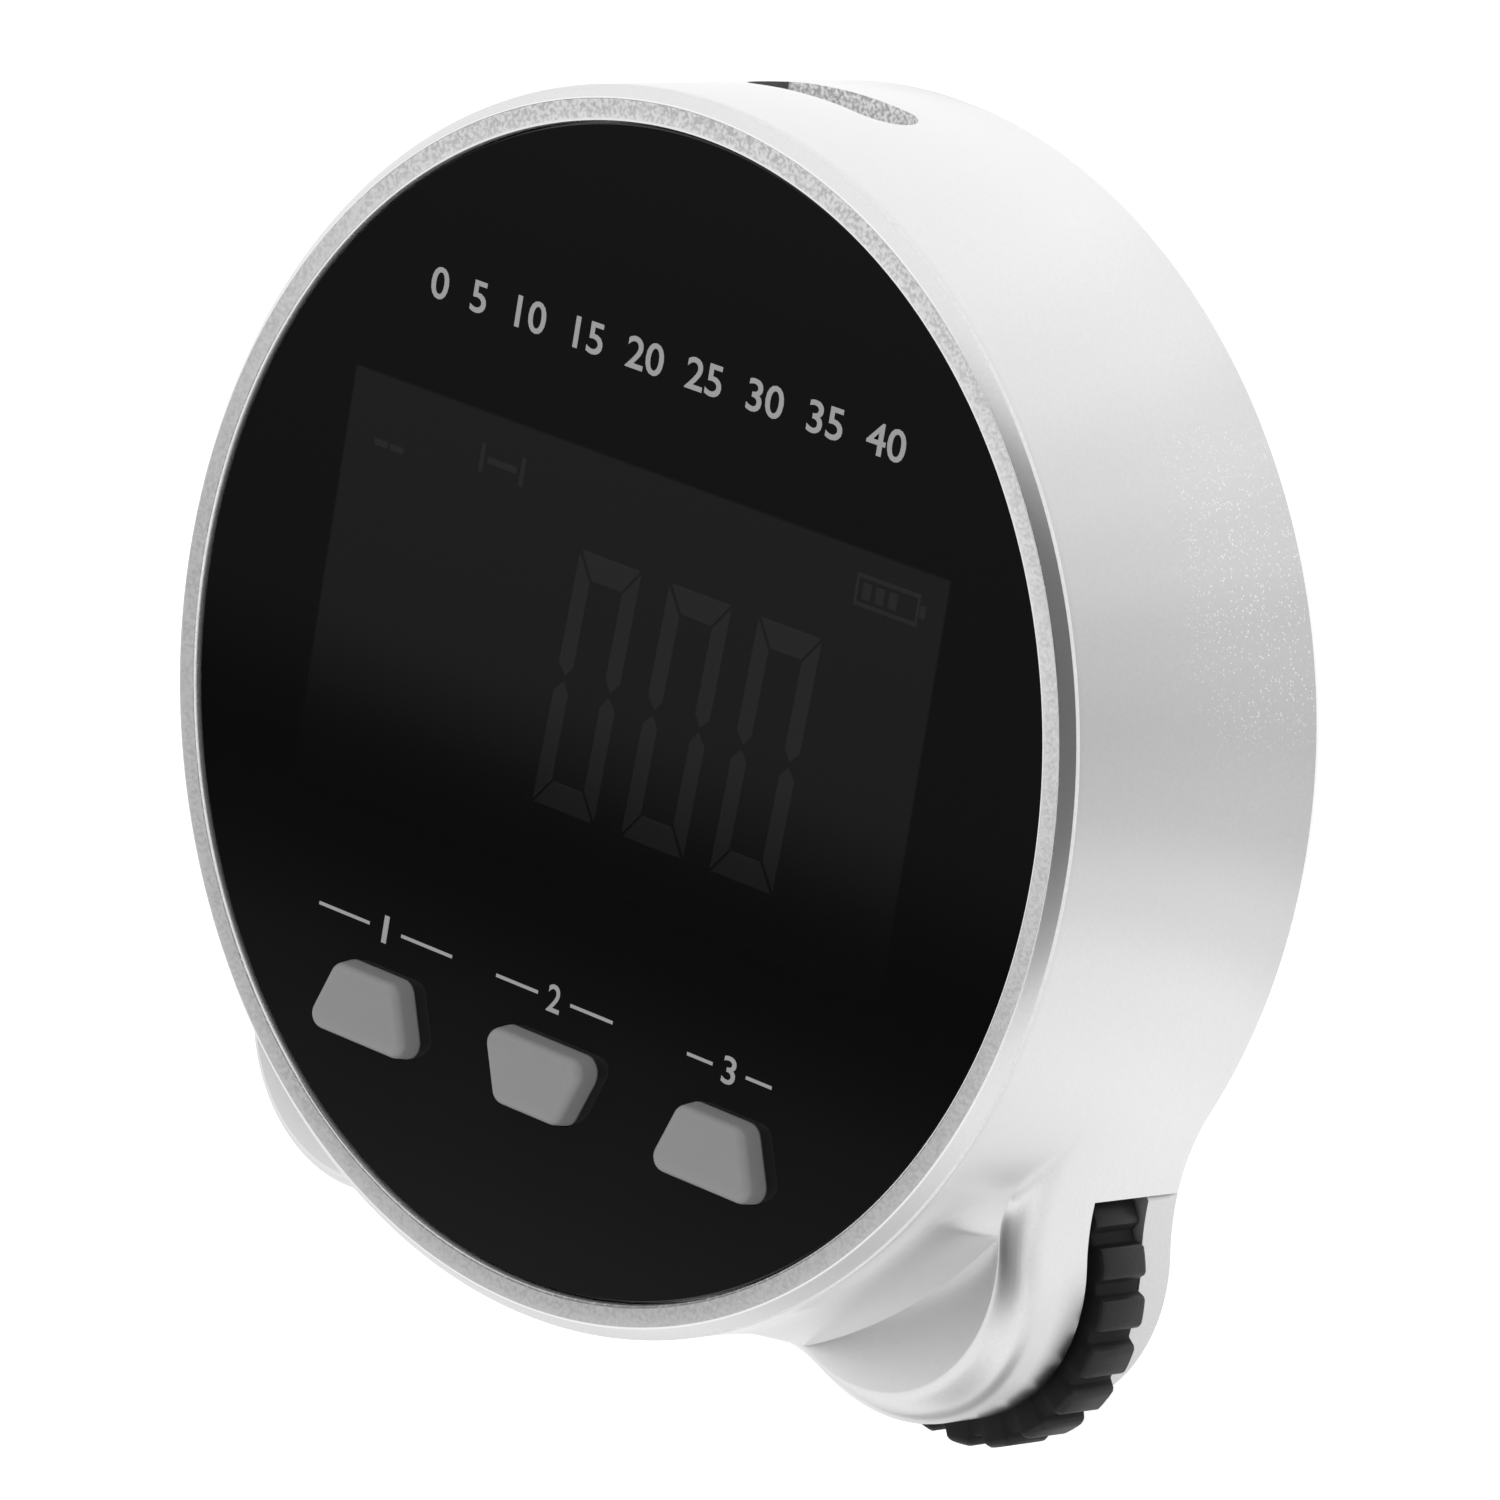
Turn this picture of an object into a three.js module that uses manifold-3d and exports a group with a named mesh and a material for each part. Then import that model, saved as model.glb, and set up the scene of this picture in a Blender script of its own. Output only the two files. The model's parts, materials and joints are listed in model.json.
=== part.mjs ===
// Digital measuring wheel: a round palm-sized gauge whose rubber roller is run along the thing to measure.
// It is modelled lying on its back. +Z points out of the display, +Y to the top of the display and +X to its
// right. The origin is the middle of the footprint, on the plane of the back. Lengths are in millimetres.

import * as THREE from 'three';
import { mergeVertices } from 'three/addons/utils/BufferGeometryUtils.js';
import Module from 'manifold-3d';

const wasm = await Module();
wasm.setup();

// Clearances
const seatGap = 0.1;
const runGap = 0.08;
const fitGap = 0.2;
const looseGap = 0.3;
const overrun = 1;

// Depth stack, from the back face to the front rim
const doorThickness = 1.4;
const cellDiameter = 10.5;
const trayRoof = 0.6;
const boardThickness = 1;
const chipHeight = 0.8;
const backlightThickness = 1.9;
const lcdThickness = 1.9;
const lensThickness = 0.9;
const lensRecess = 0.3;

// Display and round body, from the display outwards
const lcdWidth = 49;
const lcdHeight = 27.2;
const lcdTopY = 16.4;
const displayClearance = 1.72;
const ledgeWidth = 1.6;
const ledgeThickness = 1.4;
const adhesiveThickness = 0.2;
const rimWidth = 2.1;
const wallThickness = 2;
const rimChamfer = 0.75;
const backChamfer = 0.5;

// Roller and what turns with it
const rollerRadius = 10;
const rollerWidth = 3.9;
const rollerInset = 0.58;
const rollerAngle = THREE.MathUtils.degToRad(-51.5);
const toothCount = 21;
const toothDepth = 0.65;
const toothDutyShare = 0.55;
const toothRootShare = 0.11;
const toothTurn = THREE.MathUtils.degToRad(1.9);
const tyreChamfer = 0.35;
const hubRadius = 6;
const hubHoleRadius = 1.1;
const hubHoleCount = 6;
const hubRingRadius = 3.9;
const axleRadius = 1;
const bushWall = 0.8;
const lugThickness = 2.65;
const pocketClearance = 0.95;
const webThickness = 1.15;
const cupWall = 1.2;
const axleEndWall = 0.8;
const axleNose = 0.9;

// Gears and encoder
const gearModule = 0.5;
const driveTeeth = 24;
const pinionTeeth = 12;
const gearThickness = 1.2;
const meshBacklash = 0.1;
const gearCollar = 1;
const collarHeight = 0.7;
const discThickness = 0.3;
const discHeadroom = 0.85;
const discRadius = 5;
const discSlotCount = 24;
const discSlotLength = 1;
const discSlotWidth = 0.5;
const discRim = 0.4;
const shaftRadius = 0.75;
const shaftSink = 0.6;
const sensorLength = 4.6;
const sensorWidth = 4;
const sensorArm = 0.8;
const sensorReach = 1.9;

const addendumShare = 0.9;
const dedendumShare = 1.2;
const drivePitchRadius = (gearModule * driveTeeth) / 2;
const pinionPitchRadius = (gearModule * pinionTeeth) / 2;
const gearTipRadius = drivePitchRadius + gearModule * addendumShare;
const gearDistance = drivePitchRadius + pinionPitchRadius + meshBacklash;

// Depths worked out from the back: the roller and its gears, then the cells, the board and the display
const rollerZ = lugThickness + looseGap + seatGap / 2;
const rollerTopZ = rollerZ + rollerWidth;
const pocketTopZ = rollerTopZ + looseGap;
const webTopZ = pocketTopZ + webThickness;
const gearZ = webTopZ + looseGap;
const gearTopZ = gearZ + gearThickness;
const encoderDepth = looseGap * 2 + sensorArm + discThickness + discHeadroom;
const cellAxisZ = doorThickness + looseGap + cellDiameter / 2;
const roofZ = Math.max(cellAxisZ + cellDiameter / 2 + fitGap, gearTopZ + encoderDepth);
const discTopZ = roofZ - discHeadroom;
const discZ = discTopZ - discThickness;
const boardZ = roofZ + trayRoof;
const boardTopZ = boardZ + boardThickness;
const backlightZ = boardTopZ + chipHeight + seatGap;
const lcdZ = backlightZ + backlightThickness + fitGap;
const lensZ = lcdZ + lcdThickness + looseGap;
const lensTopZ = lensZ + lensThickness;
const bodyDepth = lensTopZ + lensRecess;

// The round body, from the display outwards
const ledgeRadius = Math.hypot(lcdWidth / 2, lcdTopY) + displayClearance;
const lensRadius = ledgeRadius + ledgeWidth;
const bodyRadius = lensRadius + seatGap + rimWidth;
const cavityRadius = bodyRadius - wallThickness;
const ledgeZ = lensZ - adhesiveThickness;
const ledgeBottomZ = ledgeZ - ledgeThickness;

const rollerAxisRadius = bodyRadius - rollerInset;
const rollerX = rollerAxisRadius * Math.cos(rollerAngle);
const rollerY = rollerAxisRadius * Math.sin(rollerAngle);
const pocketRadius = rollerRadius + pocketClearance;
const bushRadius = axleRadius + runGap + bushWall;

// Feet
const footProud = 0.5;
const footInset = 1.76;
const footAngle = THREE.MathUtils.degToRad(-50.8);
const footFillet = 13.8;
const footWall = 1.45;
const chamberRoom = 1.7;
const footRootLength = 4.2;
const footRootShare = 0.2;
const rightCrownLength = 2.6;
const rightCrownShare = 0.76;
const leftCrownLength = 1.2;
const leftCrownShare = 0.86;
const leftFootRise = 0.5;
const footFloor = 2.2;

const footRadius = rollerRadius - footProud;
const footCentreRadius = bodyRadius - footInset;
const chamberRadius = gearTipRadius + looseGap + seatGap;
const chamberTopZ = gearTopZ + chamberRoom;
const footFrontZ = chamberTopZ + footWall;

// Cells, tray and contacts
const cellLength = 43.6;
const nubLength = 0.8;
const nubRadius = 1.9;
const cellGap = 0.5;
const cellPairY = 2.7;
const contactRoom = 2.6;
const contactThickness = 0.3;
const contactWidth = 7;
const contactHeight = 8;
const tabWidth = 1.6;
const trayWall = 1;
const springWire = 0.3;
const springRadius = 2.4;
const springTipRadius = 1.5;
const springTurns = 3;
const springSides = 5;
const springTurnSteps = 12;
const bossRadius = 1.8;
const bossLength = 3;
const roofRadius = 29;
const roofTopY = 24;

const cellHalfLength = (cellLength + nubLength) / 2;
const cellPitch = cellDiameter + cellGap;
const trayHalfX = cellHalfLength + contactRoom;
const trayLowY = cellPairY - cellPitch / 2 - cellDiameter / 2 - looseGap - seatGap;
const trayHighY = cellPairY + cellPitch / 2 + cellDiameter / 2 + looseGap + seatGap;

// Back cover, door and screws
const coverThickness = 2;
const doorHinge = 0.7;
const doorPinRadius = 0.4;
const doorPinLength = 1;
const notchRadius = 5;
const notchDepth = 0.7;
const screwAngles = [60, 120, 204, 336];
const screwRadius = 0.9;
const screwHeadRadius = 1.9;
const screwHeadHeight = 1.1;
const screwLength = 5.5;
const driveSlotWidth = 0.45;
const driveSlotLength = 2;
const driveSlotDepth = 0.5;
const postInset = 2.4;
const postRadius = 2.3;

const coverRadius = cavityRadius - fitGap;
const postRingRadius = cavityRadius - postInset;

// Keys
const keyRowInset = 9.96;
const keyRowX = -0.15;
const keyMargin = 1.4;
const keyHeight = 4.4;
const keyNarrow = 5.3;
const keyWide = 9;
const keyCorner = 1;
const keyRise = 1.45;
const keyEdge = 0.4;
const keyFlange = 0.5;
const keyFlangeThickness = 1;
const keyTravel = 0.6;
const keyStemRadius = 1.2;
const switchSize = 4.5;
const switchHeight = 1.6;
const switchNubRadius = 1;
const switchNubHeight = 0.5;

const keyRowY = keyRowInset - ledgeRadius;
const keyPitch = Math.sqrt((ledgeRadius - keyMargin) ** 2 - (keyRowY - keyHeight / 2) ** 2) - keyWide / 2;

// Strap slot in the top of the wall
const slotLength = 11.2;
const slotWidth = 4;
const slotZ = 8.95;
const slotDepth = 5.2;
const slotWall = 1.4;
const strapPinRadius = 0.7;
const strapPinInset = 3.2;

// Small parts on the board
const boardGap = 2;
const chipSize = 7;
const chipX = -6;
const chipY = 3;
const zebraWidth = 1.6;
const zebraInset = 0.5;
const crystalLength = 6;
const crystalWidth = 2;
const crystalHeight = 1.8;
const crystalX = 7;
const crystalGap = 2.6;
const boardScrewRadius = 0.6;
const boardScrewHeadRadius = 1.3;
const boardScrewHeadHeight = 0.7;
const boardScrewLength = 3;
const boardScrewX = 8.5;
const lowScrewX = 19.8;
const boardScrewGap = 1.2;

const crystalY = lcdTopY - lcdHeight - crystalGap - crystalWidth / 2;
const boardScrewClearY = Math.max(trayHighY + trayWall + bossRadius, lcdTopY + boardScrewHeadRadius);
const boardScrewHighY = boardScrewClearY + boardScrewGap;
const boardScrewLowY = trayLowY - trayWall - bossRadius - boardScrewGap;
const boardScrewPlaces = [
  [-lowScrewX, boardScrewLowY],
  [-boardScrewX, boardScrewHighY],
  [boardScrewX, boardScrewHighY],
];

// Resolution
const bodySteps = 72;
const roundSteps = 24;
const filletSteps = 5;
const footSteps = 12;
const profileSteps = 3;
const cornerSteps = 3;

// The roller hangs below the round body, so the footprint's middle is a little below the display's axis.
const axisY = (rollerRadius - rollerY - bodyRadius) / 2;

const finishes = {
  silver: { color: 0xdedfe0, roughness: 0.34, metalness: 0.75 },
  silverPlastic: { color: 0xd2d3d5, roughness: 0.45, metalness: 0.2 },
  gloss: { color: 0x0a0b0d, roughness: 0.06, metalness: 0 },
  adhesive: { color: 0x1c1c1e, roughness: 0.8, metalness: 0 },
  glass: { color: 0x20262a, roughness: 0.1, metalness: 0 },
  backlight: { color: 0xe8ecef, roughness: 0.5, metalness: 0 },
  rubber: { color: 0x242526, roughness: 0.7, metalness: 0 },
  keyGrey: { color: 0x8c8d8e, roughness: 0.55, metalness: 0 },
  board: { color: 0x1d5a34, roughness: 0.5, metalness: 0 },
  chip: { color: 0x161719, roughness: 0.5, metalness: 0 },
  blackPlastic: { color: 0x232427, roughness: 0.55, metalness: 0 },
  whitePlastic: { color: 0xe9e9e4, roughness: 0.4, metalness: 0 },
  steel: { color: 0xb8babd, roughness: 0.28, metalness: 1 },
  brass: { color: 0xc2a14d, roughness: 0.35, metalness: 1 },
  cell: { color: 0x3c6b8c, roughness: 0.4, metalness: 0.3 },
};

// A closed geometry as a solid that can be cut and joined.
function solidOf(geometry) {
  geometry.deleteAttribute('normal');
  geometry.deleteAttribute('uv');
  const merged = mergeVertices(geometry);
  const corners = merged.index.array;
  const kept = [];
  for (let i = 0; i < corners.length; i += 3) {
    const [a, b, c] = [corners[i], corners[i + 1], corners[i + 2]];
    if (a !== b && b !== c && c !== a) kept.push(a, b, c);
  }
  const vertProperties = new Float32Array(merged.attributes.position.array);
  return new wasm.Manifold(new wasm.Mesh({ numProp: 3, vertProperties, triVerts: new Uint32Array(kept) }));
}

// A round bar along Z.
function bar(radius, lowZ, highZ, x = 0, y = 0, steps = roundSteps) {
  const geometry = new THREE.CylinderGeometry(radius, radius, highZ - lowZ, steps);
  geometry.rotateX(Math.PI / 2);
  geometry.translate(x, y, (lowZ + highZ) / 2);
  return solidOf(geometry);
}

// A bar along X.
function barX(radius, lowX, highX, y, z, steps = roundSteps) {
  const geometry = new THREE.CylinderGeometry(radius, radius, highX - lowX, steps);
  geometry.rotateZ(-Math.PI / 2);
  geometry.translate((lowX + highX) / 2, y, z);
  return solidOf(geometry);
}

// A block between two corners.
function block(low, high) {
  const size = high.map((value, i) => value - low[i]);
  const geometry = new THREE.BoxGeometry(...size);
  geometry.translate(...low.map((value, i) => value + size[i] / 2));
  return solidOf(geometry);
}

// A flat outline given a thickness along Z.
function prism(outline, lowZ, highZ) {
  const geometry = new THREE.ExtrudeGeometry(new THREE.Shape(outline), {
    depth: highZ - lowZ,
    bevelEnabled: false,
  });
  geometry.translate(0, 0, lowZ);
  return solidOf(geometry);
}

// Rings of equal count joined into one closed solid, with flat ends.
function loft(rings) {
  const count = rings[0].length;
  const ends = [rings[0], rings[rings.length - 1]].map((ring) => {
    const middle = new THREE.Vector3();
    ring.forEach((point) => middle.addScaledVector(point, 1 / count));
    return middle;
  });
  const points = [...rings.flat(), ...ends];
  const first = points.length - 2;
  const index = [];
  for (let i = 0; i < count; i += 1) {
    const next = (i + 1) % count;
    for (let ring = 0; ring + 1 < rings.length; ring += 1) {
      const low = ring * count;
      const high = low + count;
      index.push(low + i, low + next, high + next, low + i, high + next, high + i);
    }
    const top = (rings.length - 1) * count;
    index.push(first, next, i, first + 1, top + i, top + next);
  }
  const geometry = new THREE.BufferGeometry().setFromPoints(points);
  geometry.setIndex(index);
  return solidOf(geometry);
}

// An arc of points about a centre, both ends included.
function arc(centre, radius, from, to, steps) {
  const points = [];
  for (let i = 0; i <= steps; i += 1) {
    const turn = from + ((to - from) * i) / steps;
    points.push(new THREE.Vector2(centre.x + radius * Math.cos(turn), centre.y + radius * Math.sin(turn)));
  }
  return points;
}

// The difference of two directions, between minus and plus half a turn.
function turnBetween(from, to) {
  return THREE.MathUtils.euclideanModulo(to - from + Math.PI, Math.PI * 2) - Math.PI;
}

// A foot in plan: a round lobe on the body's circle, faired into it on both sides by wide hollow arcs.
function footOutline() {
  const centre = new THREE.Vector2(Math.cos(footAngle), Math.sin(footAngle)).multiplyScalar(footCentreRadius);
  const outer = bodyRadius + footFillet;
  const reach = footRadius + footFillet;
  const cosine = (footCentreRadius ** 2 + outer ** 2 - reach ** 2) / (2 * footCentreRadius * outer);
  const sides = [-1, 1].map((side) => {
    const turn = footAngle + side * Math.acos(cosine);
    const hollow = new THREE.Vector2(Math.cos(turn), Math.sin(turn)).multiplyScalar(outer);
    const fromHollow = centre.clone().sub(hollow).angle();
    const start = turn + Math.PI;
    const sweep = turnBetween(start, fromHollow);
    return { arc: arc(hollow, footFillet, start, start + sweep, filletSteps), onFoot: fromHollow + Math.PI };
  });
  const from = footAngle + turnBetween(footAngle, sides[0].onFoot);
  const to = footAngle + turnBetween(footAngle, sides[1].onFoot);
  const lobe = arc(centre, footRadius, from, to, footSteps).slice(1, -1);
  return [...sides[0].arc, ...lobe, ...sides[1].arc.reverse()];
}

// The whole outline behind the feet's crowns, anticlockwise: the body's circle with a foot on each side.
function bodyOutline() {
  const right = footOutline();
  const left = right.map((point) => new THREE.Vector2(-point.x, point.y)).reverse();
  const top = turnBetween(0, right[right.length - 1].angle());
  const topEnd = top + THREE.MathUtils.euclideanModulo(left[0].angle() - top, Math.PI * 2);
  const bottom = left[left.length - 1].angle();
  const bottomEnd = bottom + THREE.MathUtils.euclideanModulo(right[0].angle() - bottom, Math.PI * 2);
  const steps = (span) => Math.ceil((bodySteps * span) / (Math.PI * 2));
  const origin = new THREE.Vector2();
  const over = arc(origin, bodyRadius, top, topEnd, steps(topEnd - top)).slice(1, -1);
  const under = arc(origin, bodyRadius, bottom, bottomEnd, steps(bottomEnd - bottom)).slice(1, -1);
  return [...right, ...over, ...left, ...under];
}

// The flat fronts of the two feet, and how each is rounded over behind its front.
const rightFoot = { frontZ: footFrontZ, crownLength: rightCrownLength, crownShare: rightCrownShare };
const leftFoot = {
  frontZ: footFrontZ + leftFootRise,
  crownLength: leftCrownLength,
  crownShare: leftCrownShare,
};

// How far a foot stands out of the round body at a depth, as a share of its outline. Ahead of its front only
// the hollow fairing into the wall is left.
function footShareAt(foot, z, ahead) {
  if (z < foot.frontZ || (z === foot.frontZ && !ahead)) {
    const rise = Math.max(0, 1 - (foot.frontZ - z) / foot.crownLength);
    return foot.crownShare + (1 - foot.crownShare) * Math.sqrt(1 - rise ** 2);
  }
  const left = 1 - Math.min(1, (z - foot.frontZ) / footRootLength);
  return footRootShare * (1 - Math.sqrt(1 - left ** 2));
}

// The depths that a foot's rounded crown and hollow root need rings at.
function footLevels(foot) {
  const levels = [];
  for (let i = 0; i <= profileSteps; i += 1) {
    const turn = (Math.PI / 2) * (i / profileSteps);
    levels.push({ z: foot.frontZ - foot.crownLength * (1 - Math.sin(turn)), ahead: false });
    levels.push({ z: foot.frontZ + footRootLength * (1 - Math.cos(turn)), ahead: true });
  }
  return levels;
}

// One ring of the skin. Inset draws the ring in.
function skinRing(outline, z, ahead, inset = 0) {
  return outline.map((point) => {
    const foot = point.x > 0 ? rightFoot : leftFoot;
    const base = point.clone().setLength(bodyRadius);
    const risen = base.lerp(point, footShareAt(foot, z, ahead));
    const drawn = risen.setLength(risen.length() - inset);
    return new THREE.Vector3(drawn.x, drawn.y, z);
  });
}

// The outer skin, filled: full outline at the back, feet crowned over towards the front, then the round rim.
function skin() {
  const outline = bodyOutline();
  const levels = [...footLevels(rightFoot), ...footLevels(leftFoot)];
  levels.sort((a, b) => a.z - b.z || Number(a.ahead) - Number(b.ahead));
  const rings = [skinRing(outline, 0, false, backChamfer), skinRing(outline, backChamfer, false)];
  levels.forEach(({ z, ahead }) => rings.push(skinRing(outline, z, ahead)));
  rings.push(skinRing(outline, bodyDepth - rimChamfer, true), skinRing(outline, bodyDepth, true, rimChamfer));
  return loft(rings);
}

const screwPlaces = screwAngles.map((degrees) => {
  const turn = THREE.MathUtils.degToRad(degrees);
  return [postRingRadius * Math.cos(turn), postRingRadius * Math.sin(turn)];
});

// A round-ended slot across the wall, wide along X and narrow along Z.
function strapSlotSolid(halfLength, halfWidth, lowY, highY) {
  const middleX = halfLength - halfWidth;
  const steps = cornerSteps * 2;
  const shape = [
    ...arc(new THREE.Vector2(middleX, 0), halfWidth, -Math.PI / 2, Math.PI / 2, steps),
    ...arc(new THREE.Vector2(-middleX, 0), halfWidth, Math.PI / 2, Math.PI * 1.5, steps),
  ];
  const geometry = new THREE.ExtrudeGeometry(new THREE.Shape(shape), {
    depth: highY - lowY,
    bevelEnabled: false,
  });
  geometry.rotateX(-Math.PI / 2);
  geometry.translate(0, lowY, slotZ);
  return solidOf(geometry);
}

// The shell: rim, wall, feet, roller cup, screw posts and the strap pocket.
function housing() {
  const leftFootX = -footCentreRadius * Math.cos(footAngle);
  const footY = footCentreRadius * Math.sin(footAngle);
  const coreRadius = footRadius - footWall;
  const pocketLowY = bodyRadius - slotDepth;
  const pinY = bodyRadius - strapPinInset;
  let shell = skin();
  shell = shell.subtract(bar(cavityRadius, -overrun, ledgeBottomZ, 0, 0, bodySteps));
  shell = shell.subtract(bar(coreRadius, footFloor, chamberTopZ, leftFootX, footY));
  shell = shell.subtract(bar(chamberRadius, webTopZ, chamberTopZ, rollerX, rollerY));

  const inner = bar(cavityRadius + overrun, 0, bodyDepth, 0, 0, bodySteps).intersect(skin());
  const cup = bar(pocketRadius + cupWall, coverThickness + fitGap, webTopZ, rollerX, rollerY, roundSteps * 2);
  shell = shell.add(cup.intersect(inner));
  shell = shell.add(bar(bushRadius + seatGap + cupWall, pocketTopZ, webTopZ, rollerX, rollerY));
  for (const [x, y] of screwPlaces) {
    shell = shell.add(bar(postRadius, coverThickness, ledgeBottomZ + seatGap, x, y).intersect(inner));
    const outward = Math.atan2(y, x);
    const gussetLength = postInset + wallThickness / 2;
    const gusset = new THREE.BoxGeometry(gussetLength, postRadius, ledgeBottomZ - coverThickness);
    gusset.translate(gussetLength / 2, 0, (ledgeBottomZ + coverThickness) / 2);
    gusset.rotateZ(outward);
    gusset.translate(x, y, 0);
    shell = shell.add(solidOf(gusset).intersect(inner));
  }
  const pocketOuter = strapSlotSolid(
    slotLength / 2 + slotWall,
    slotWidth / 2 + slotWall,
    pocketLowY - slotWall,
    cavityRadius + wallThickness / 2,
  );
  shell = shell.add(pocketOuter.intersect(inner));

  shell = shell.subtract(bar(pocketRadius, -overrun, pocketTopZ, rollerX, rollerY, roundSteps * 2));
  const bushBore = bushRadius + seatGap;
  shell = shell.subtract(bar(bushBore, pocketTopZ - overrun, webTopZ + overrun, rollerX, rollerY));
  const [encoderX, encoderY] = encoderPlace();
  shell = shell.subtract(
    bar(shaftRadius + runGap, webTopZ - shaftSink - seatGap, webTopZ + overrun, encoderX, encoderY),
  );
  for (const [x, y] of screwPlaces) {
    shell = shell.subtract(
      bar(screwRadius + fitGap, coverThickness - overrun, coverThickness + screwLength + fitGap, x, y),
    );
  }
  shell = shell.subtract(strapSlotSolid(slotLength / 2, slotWidth / 2, pocketLowY, bodyRadius + overrun));
  const pinLowZ = slotZ - slotWidth / 2 - slotWall / 2;
  const pinHighZ = slotZ + slotWidth / 2 + slotWall + overrun;
  shell = shell.subtract(bar(strapPinRadius + fitGap, pinLowZ, pinHighZ, 0, pinY));
  shell = shell.subtract(bar(ledgeRadius, -overrun, bodyDepth + overrun, 0, 0, bodySteps).subtract(
    bar(ledgeRadius + overrun, -overrun * 2, ledgeBottomZ, 0, 0, bodySteps),
  ));
  return shell.subtract(bar(lensRadius + seatGap, ledgeZ, bodyDepth + overrun, 0, 0, bodySteps));
}

// The outline of a key: a trapezium with round corners, wide at the bottom, or at the top when turned over.
function keyOutline(turnedOver, grow) {
  const half = keyHeight / 2;
  const lowHalf = (turnedOver ? keyNarrow : keyWide) / 2;
  const highHalf = (turnedOver ? keyWide : keyNarrow) / 2;
  const lean = Math.atan2(lowHalf - highHalf, keyHeight);
  const radius = keyCorner + grow;
  const corner = (halfWidth, y, side) => {
    const slack = keyCorner * Math.tan((Math.PI / 2 - side * lean) / 2);
    return new THREE.Vector2(halfWidth - slack, y - side * keyCorner);
  };
  const low = corner(lowHalf, -half, -1);
  const high = corner(highHalf, half, 1);
  const leftOf = (point) => new THREE.Vector2(-point.x, point.y);
  return [
    ...arc(low, radius, -Math.PI / 2, lean, cornerSteps),
    ...arc(high, radius, lean, Math.PI / 2, cornerSteps),
    ...arc(leftOf(high), radius, Math.PI / 2, Math.PI - lean, cornerSteps),
    ...arc(leftOf(low), radius, Math.PI - lean, Math.PI * 1.5, cornerSteps),
  ];
}

const keyPlaces = [
  { name: 'left', x: keyRowX - keyPitch, turnedOver: false },
  { name: 'middle', x: keyRowX, turnedOver: true },
  { name: 'right', x: keyRowX + keyPitch, turnedOver: false },
];

// The front window: one clear disc with three key openings.
function frontLens() {
  let lens = bar(lensRadius, lensZ, lensTopZ, 0, 0, bodySteps);
  for (const { x, turnedOver } of keyPlaces) {
    const opening = keyOutline(turnedOver, fitGap).map((point) => point.add(new THREE.Vector2(x, keyRowY)));
    lens = lens.subtract(prism(opening, lensZ - overrun, lensTopZ + overrun));
  }
  return lens;
}

function lensAdhesive() {
  const outer = bar(lensRadius - fitGap, ledgeZ, lensZ, 0, 0, bodySteps);
  return outer.subtract(bar(ledgeRadius, ledgeZ - overrun, lensZ + overrun, 0, 0, bodySteps));
}

// A key cap, built about its own middle: soft-edged crown, flange that stops it under the lens, and stem.
function keyCap(turnedOver) {
  const crownZ = lensTopZ + keyRise;
  const flangeTopZ = lensZ - seatGap;
  const flangeZ = flangeTopZ - keyFlangeThickness;
  const stemZ = boardTopZ + switchHeight + switchNubHeight + keyTravel + seatGap;
  const ring = (grow, z) =>
    keyOutline(turnedOver, grow).map((point) => new THREE.Vector3(point.x, point.y, z));
  const rings = [ring(0, flangeZ + seatGap), ring(0, crownZ - keyEdge)];
  for (let i = 1; i <= profileSteps; i += 1) {
    const turn = (Math.PI / 2) * (i / profileSteps);
    rings.push(ring(keyEdge * (Math.cos(turn) - 1), crownZ - keyEdge * (1 - Math.sin(turn))));
  }
  const flange = prism(keyOutline(turnedOver, keyFlange), flangeZ, flangeTopZ);
  return loft(rings).add(flange).add(bar(keyStemRadius, stemZ, flangeTopZ));
}

function keySwitch() {
  const half = switchSize / 2;
  const bodyTopZ = boardTopZ + switchHeight;
  const body = block([-half, -half, boardTopZ], [half, half, bodyTopZ]);
  return body.add(bar(switchNubRadius, boardTopZ + seatGap, bodyTopZ + switchNubHeight));
}

function lcdGlass() {
  return block([-lcdWidth / 2, lcdTopY - lcdHeight, lcdZ], [lcdWidth / 2, lcdTopY, lcdZ + lcdThickness]);
}

function backlight() {
  const half = lcdWidth / 2 - zebraInset;
  const lowY = lcdTopY - lcdHeight + zebraInset;
  const highY = lcdTopY - zebraInset - zebraWidth - looseGap;
  return block([-half, lowY, backlightZ], [half, highY, backlightZ + backlightThickness]);
}

// The rubber strip that carries the display's signals up from the board.
function zebraStrip() {
  const half = lcdWidth / 2 - zebraInset - zebraWidth;
  const highY = lcdTopY - zebraInset;
  return block([-half, highY - zebraWidth, boardTopZ], [half, highY, lcdZ]);
}

function mainBoard() {
  let board = bar(cavityRadius - boardGap, boardZ, boardTopZ, 0, 0, bodySteps);
  for (const [x, y] of screwPlaces) {
    board = board.subtract(bar(postRadius + looseGap, boardZ - overrun, boardTopZ + overrun, x, y));
  }
  for (const [x, y] of boardScrewPlaces) {
    board = board.subtract(bar(boardScrewRadius + fitGap, boardZ - overrun, boardTopZ + overrun, x, y));
  }
  return board;
}

function controllerChip() {
  const half = chipSize / 2;
  return block([chipX - half, chipY - half, boardTopZ], [chipX + half, chipY + half, boardTopZ + chipHeight]);
}

function crystal() {
  const half = (crystalLength - crystalWidth) / 2;
  const radius = crystalWidth / 2;
  const outline = [
    ...arc(new THREE.Vector2(crystalX + half, crystalY), radius, -Math.PI / 2, Math.PI / 2, cornerSteps),
    ...arc(new THREE.Vector2(crystalX - half, crystalY), radius, Math.PI / 2, Math.PI * 1.5, cornerSteps),
  ];
  return prism(outline, boardTopZ, boardTopZ + crystalHeight);
}

function encoderPlace() {
  const radius = rollerAxisRadius - gearDistance;
  return [radius * Math.cos(rollerAngle), radius * Math.sin(rollerAngle)];
}

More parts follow.
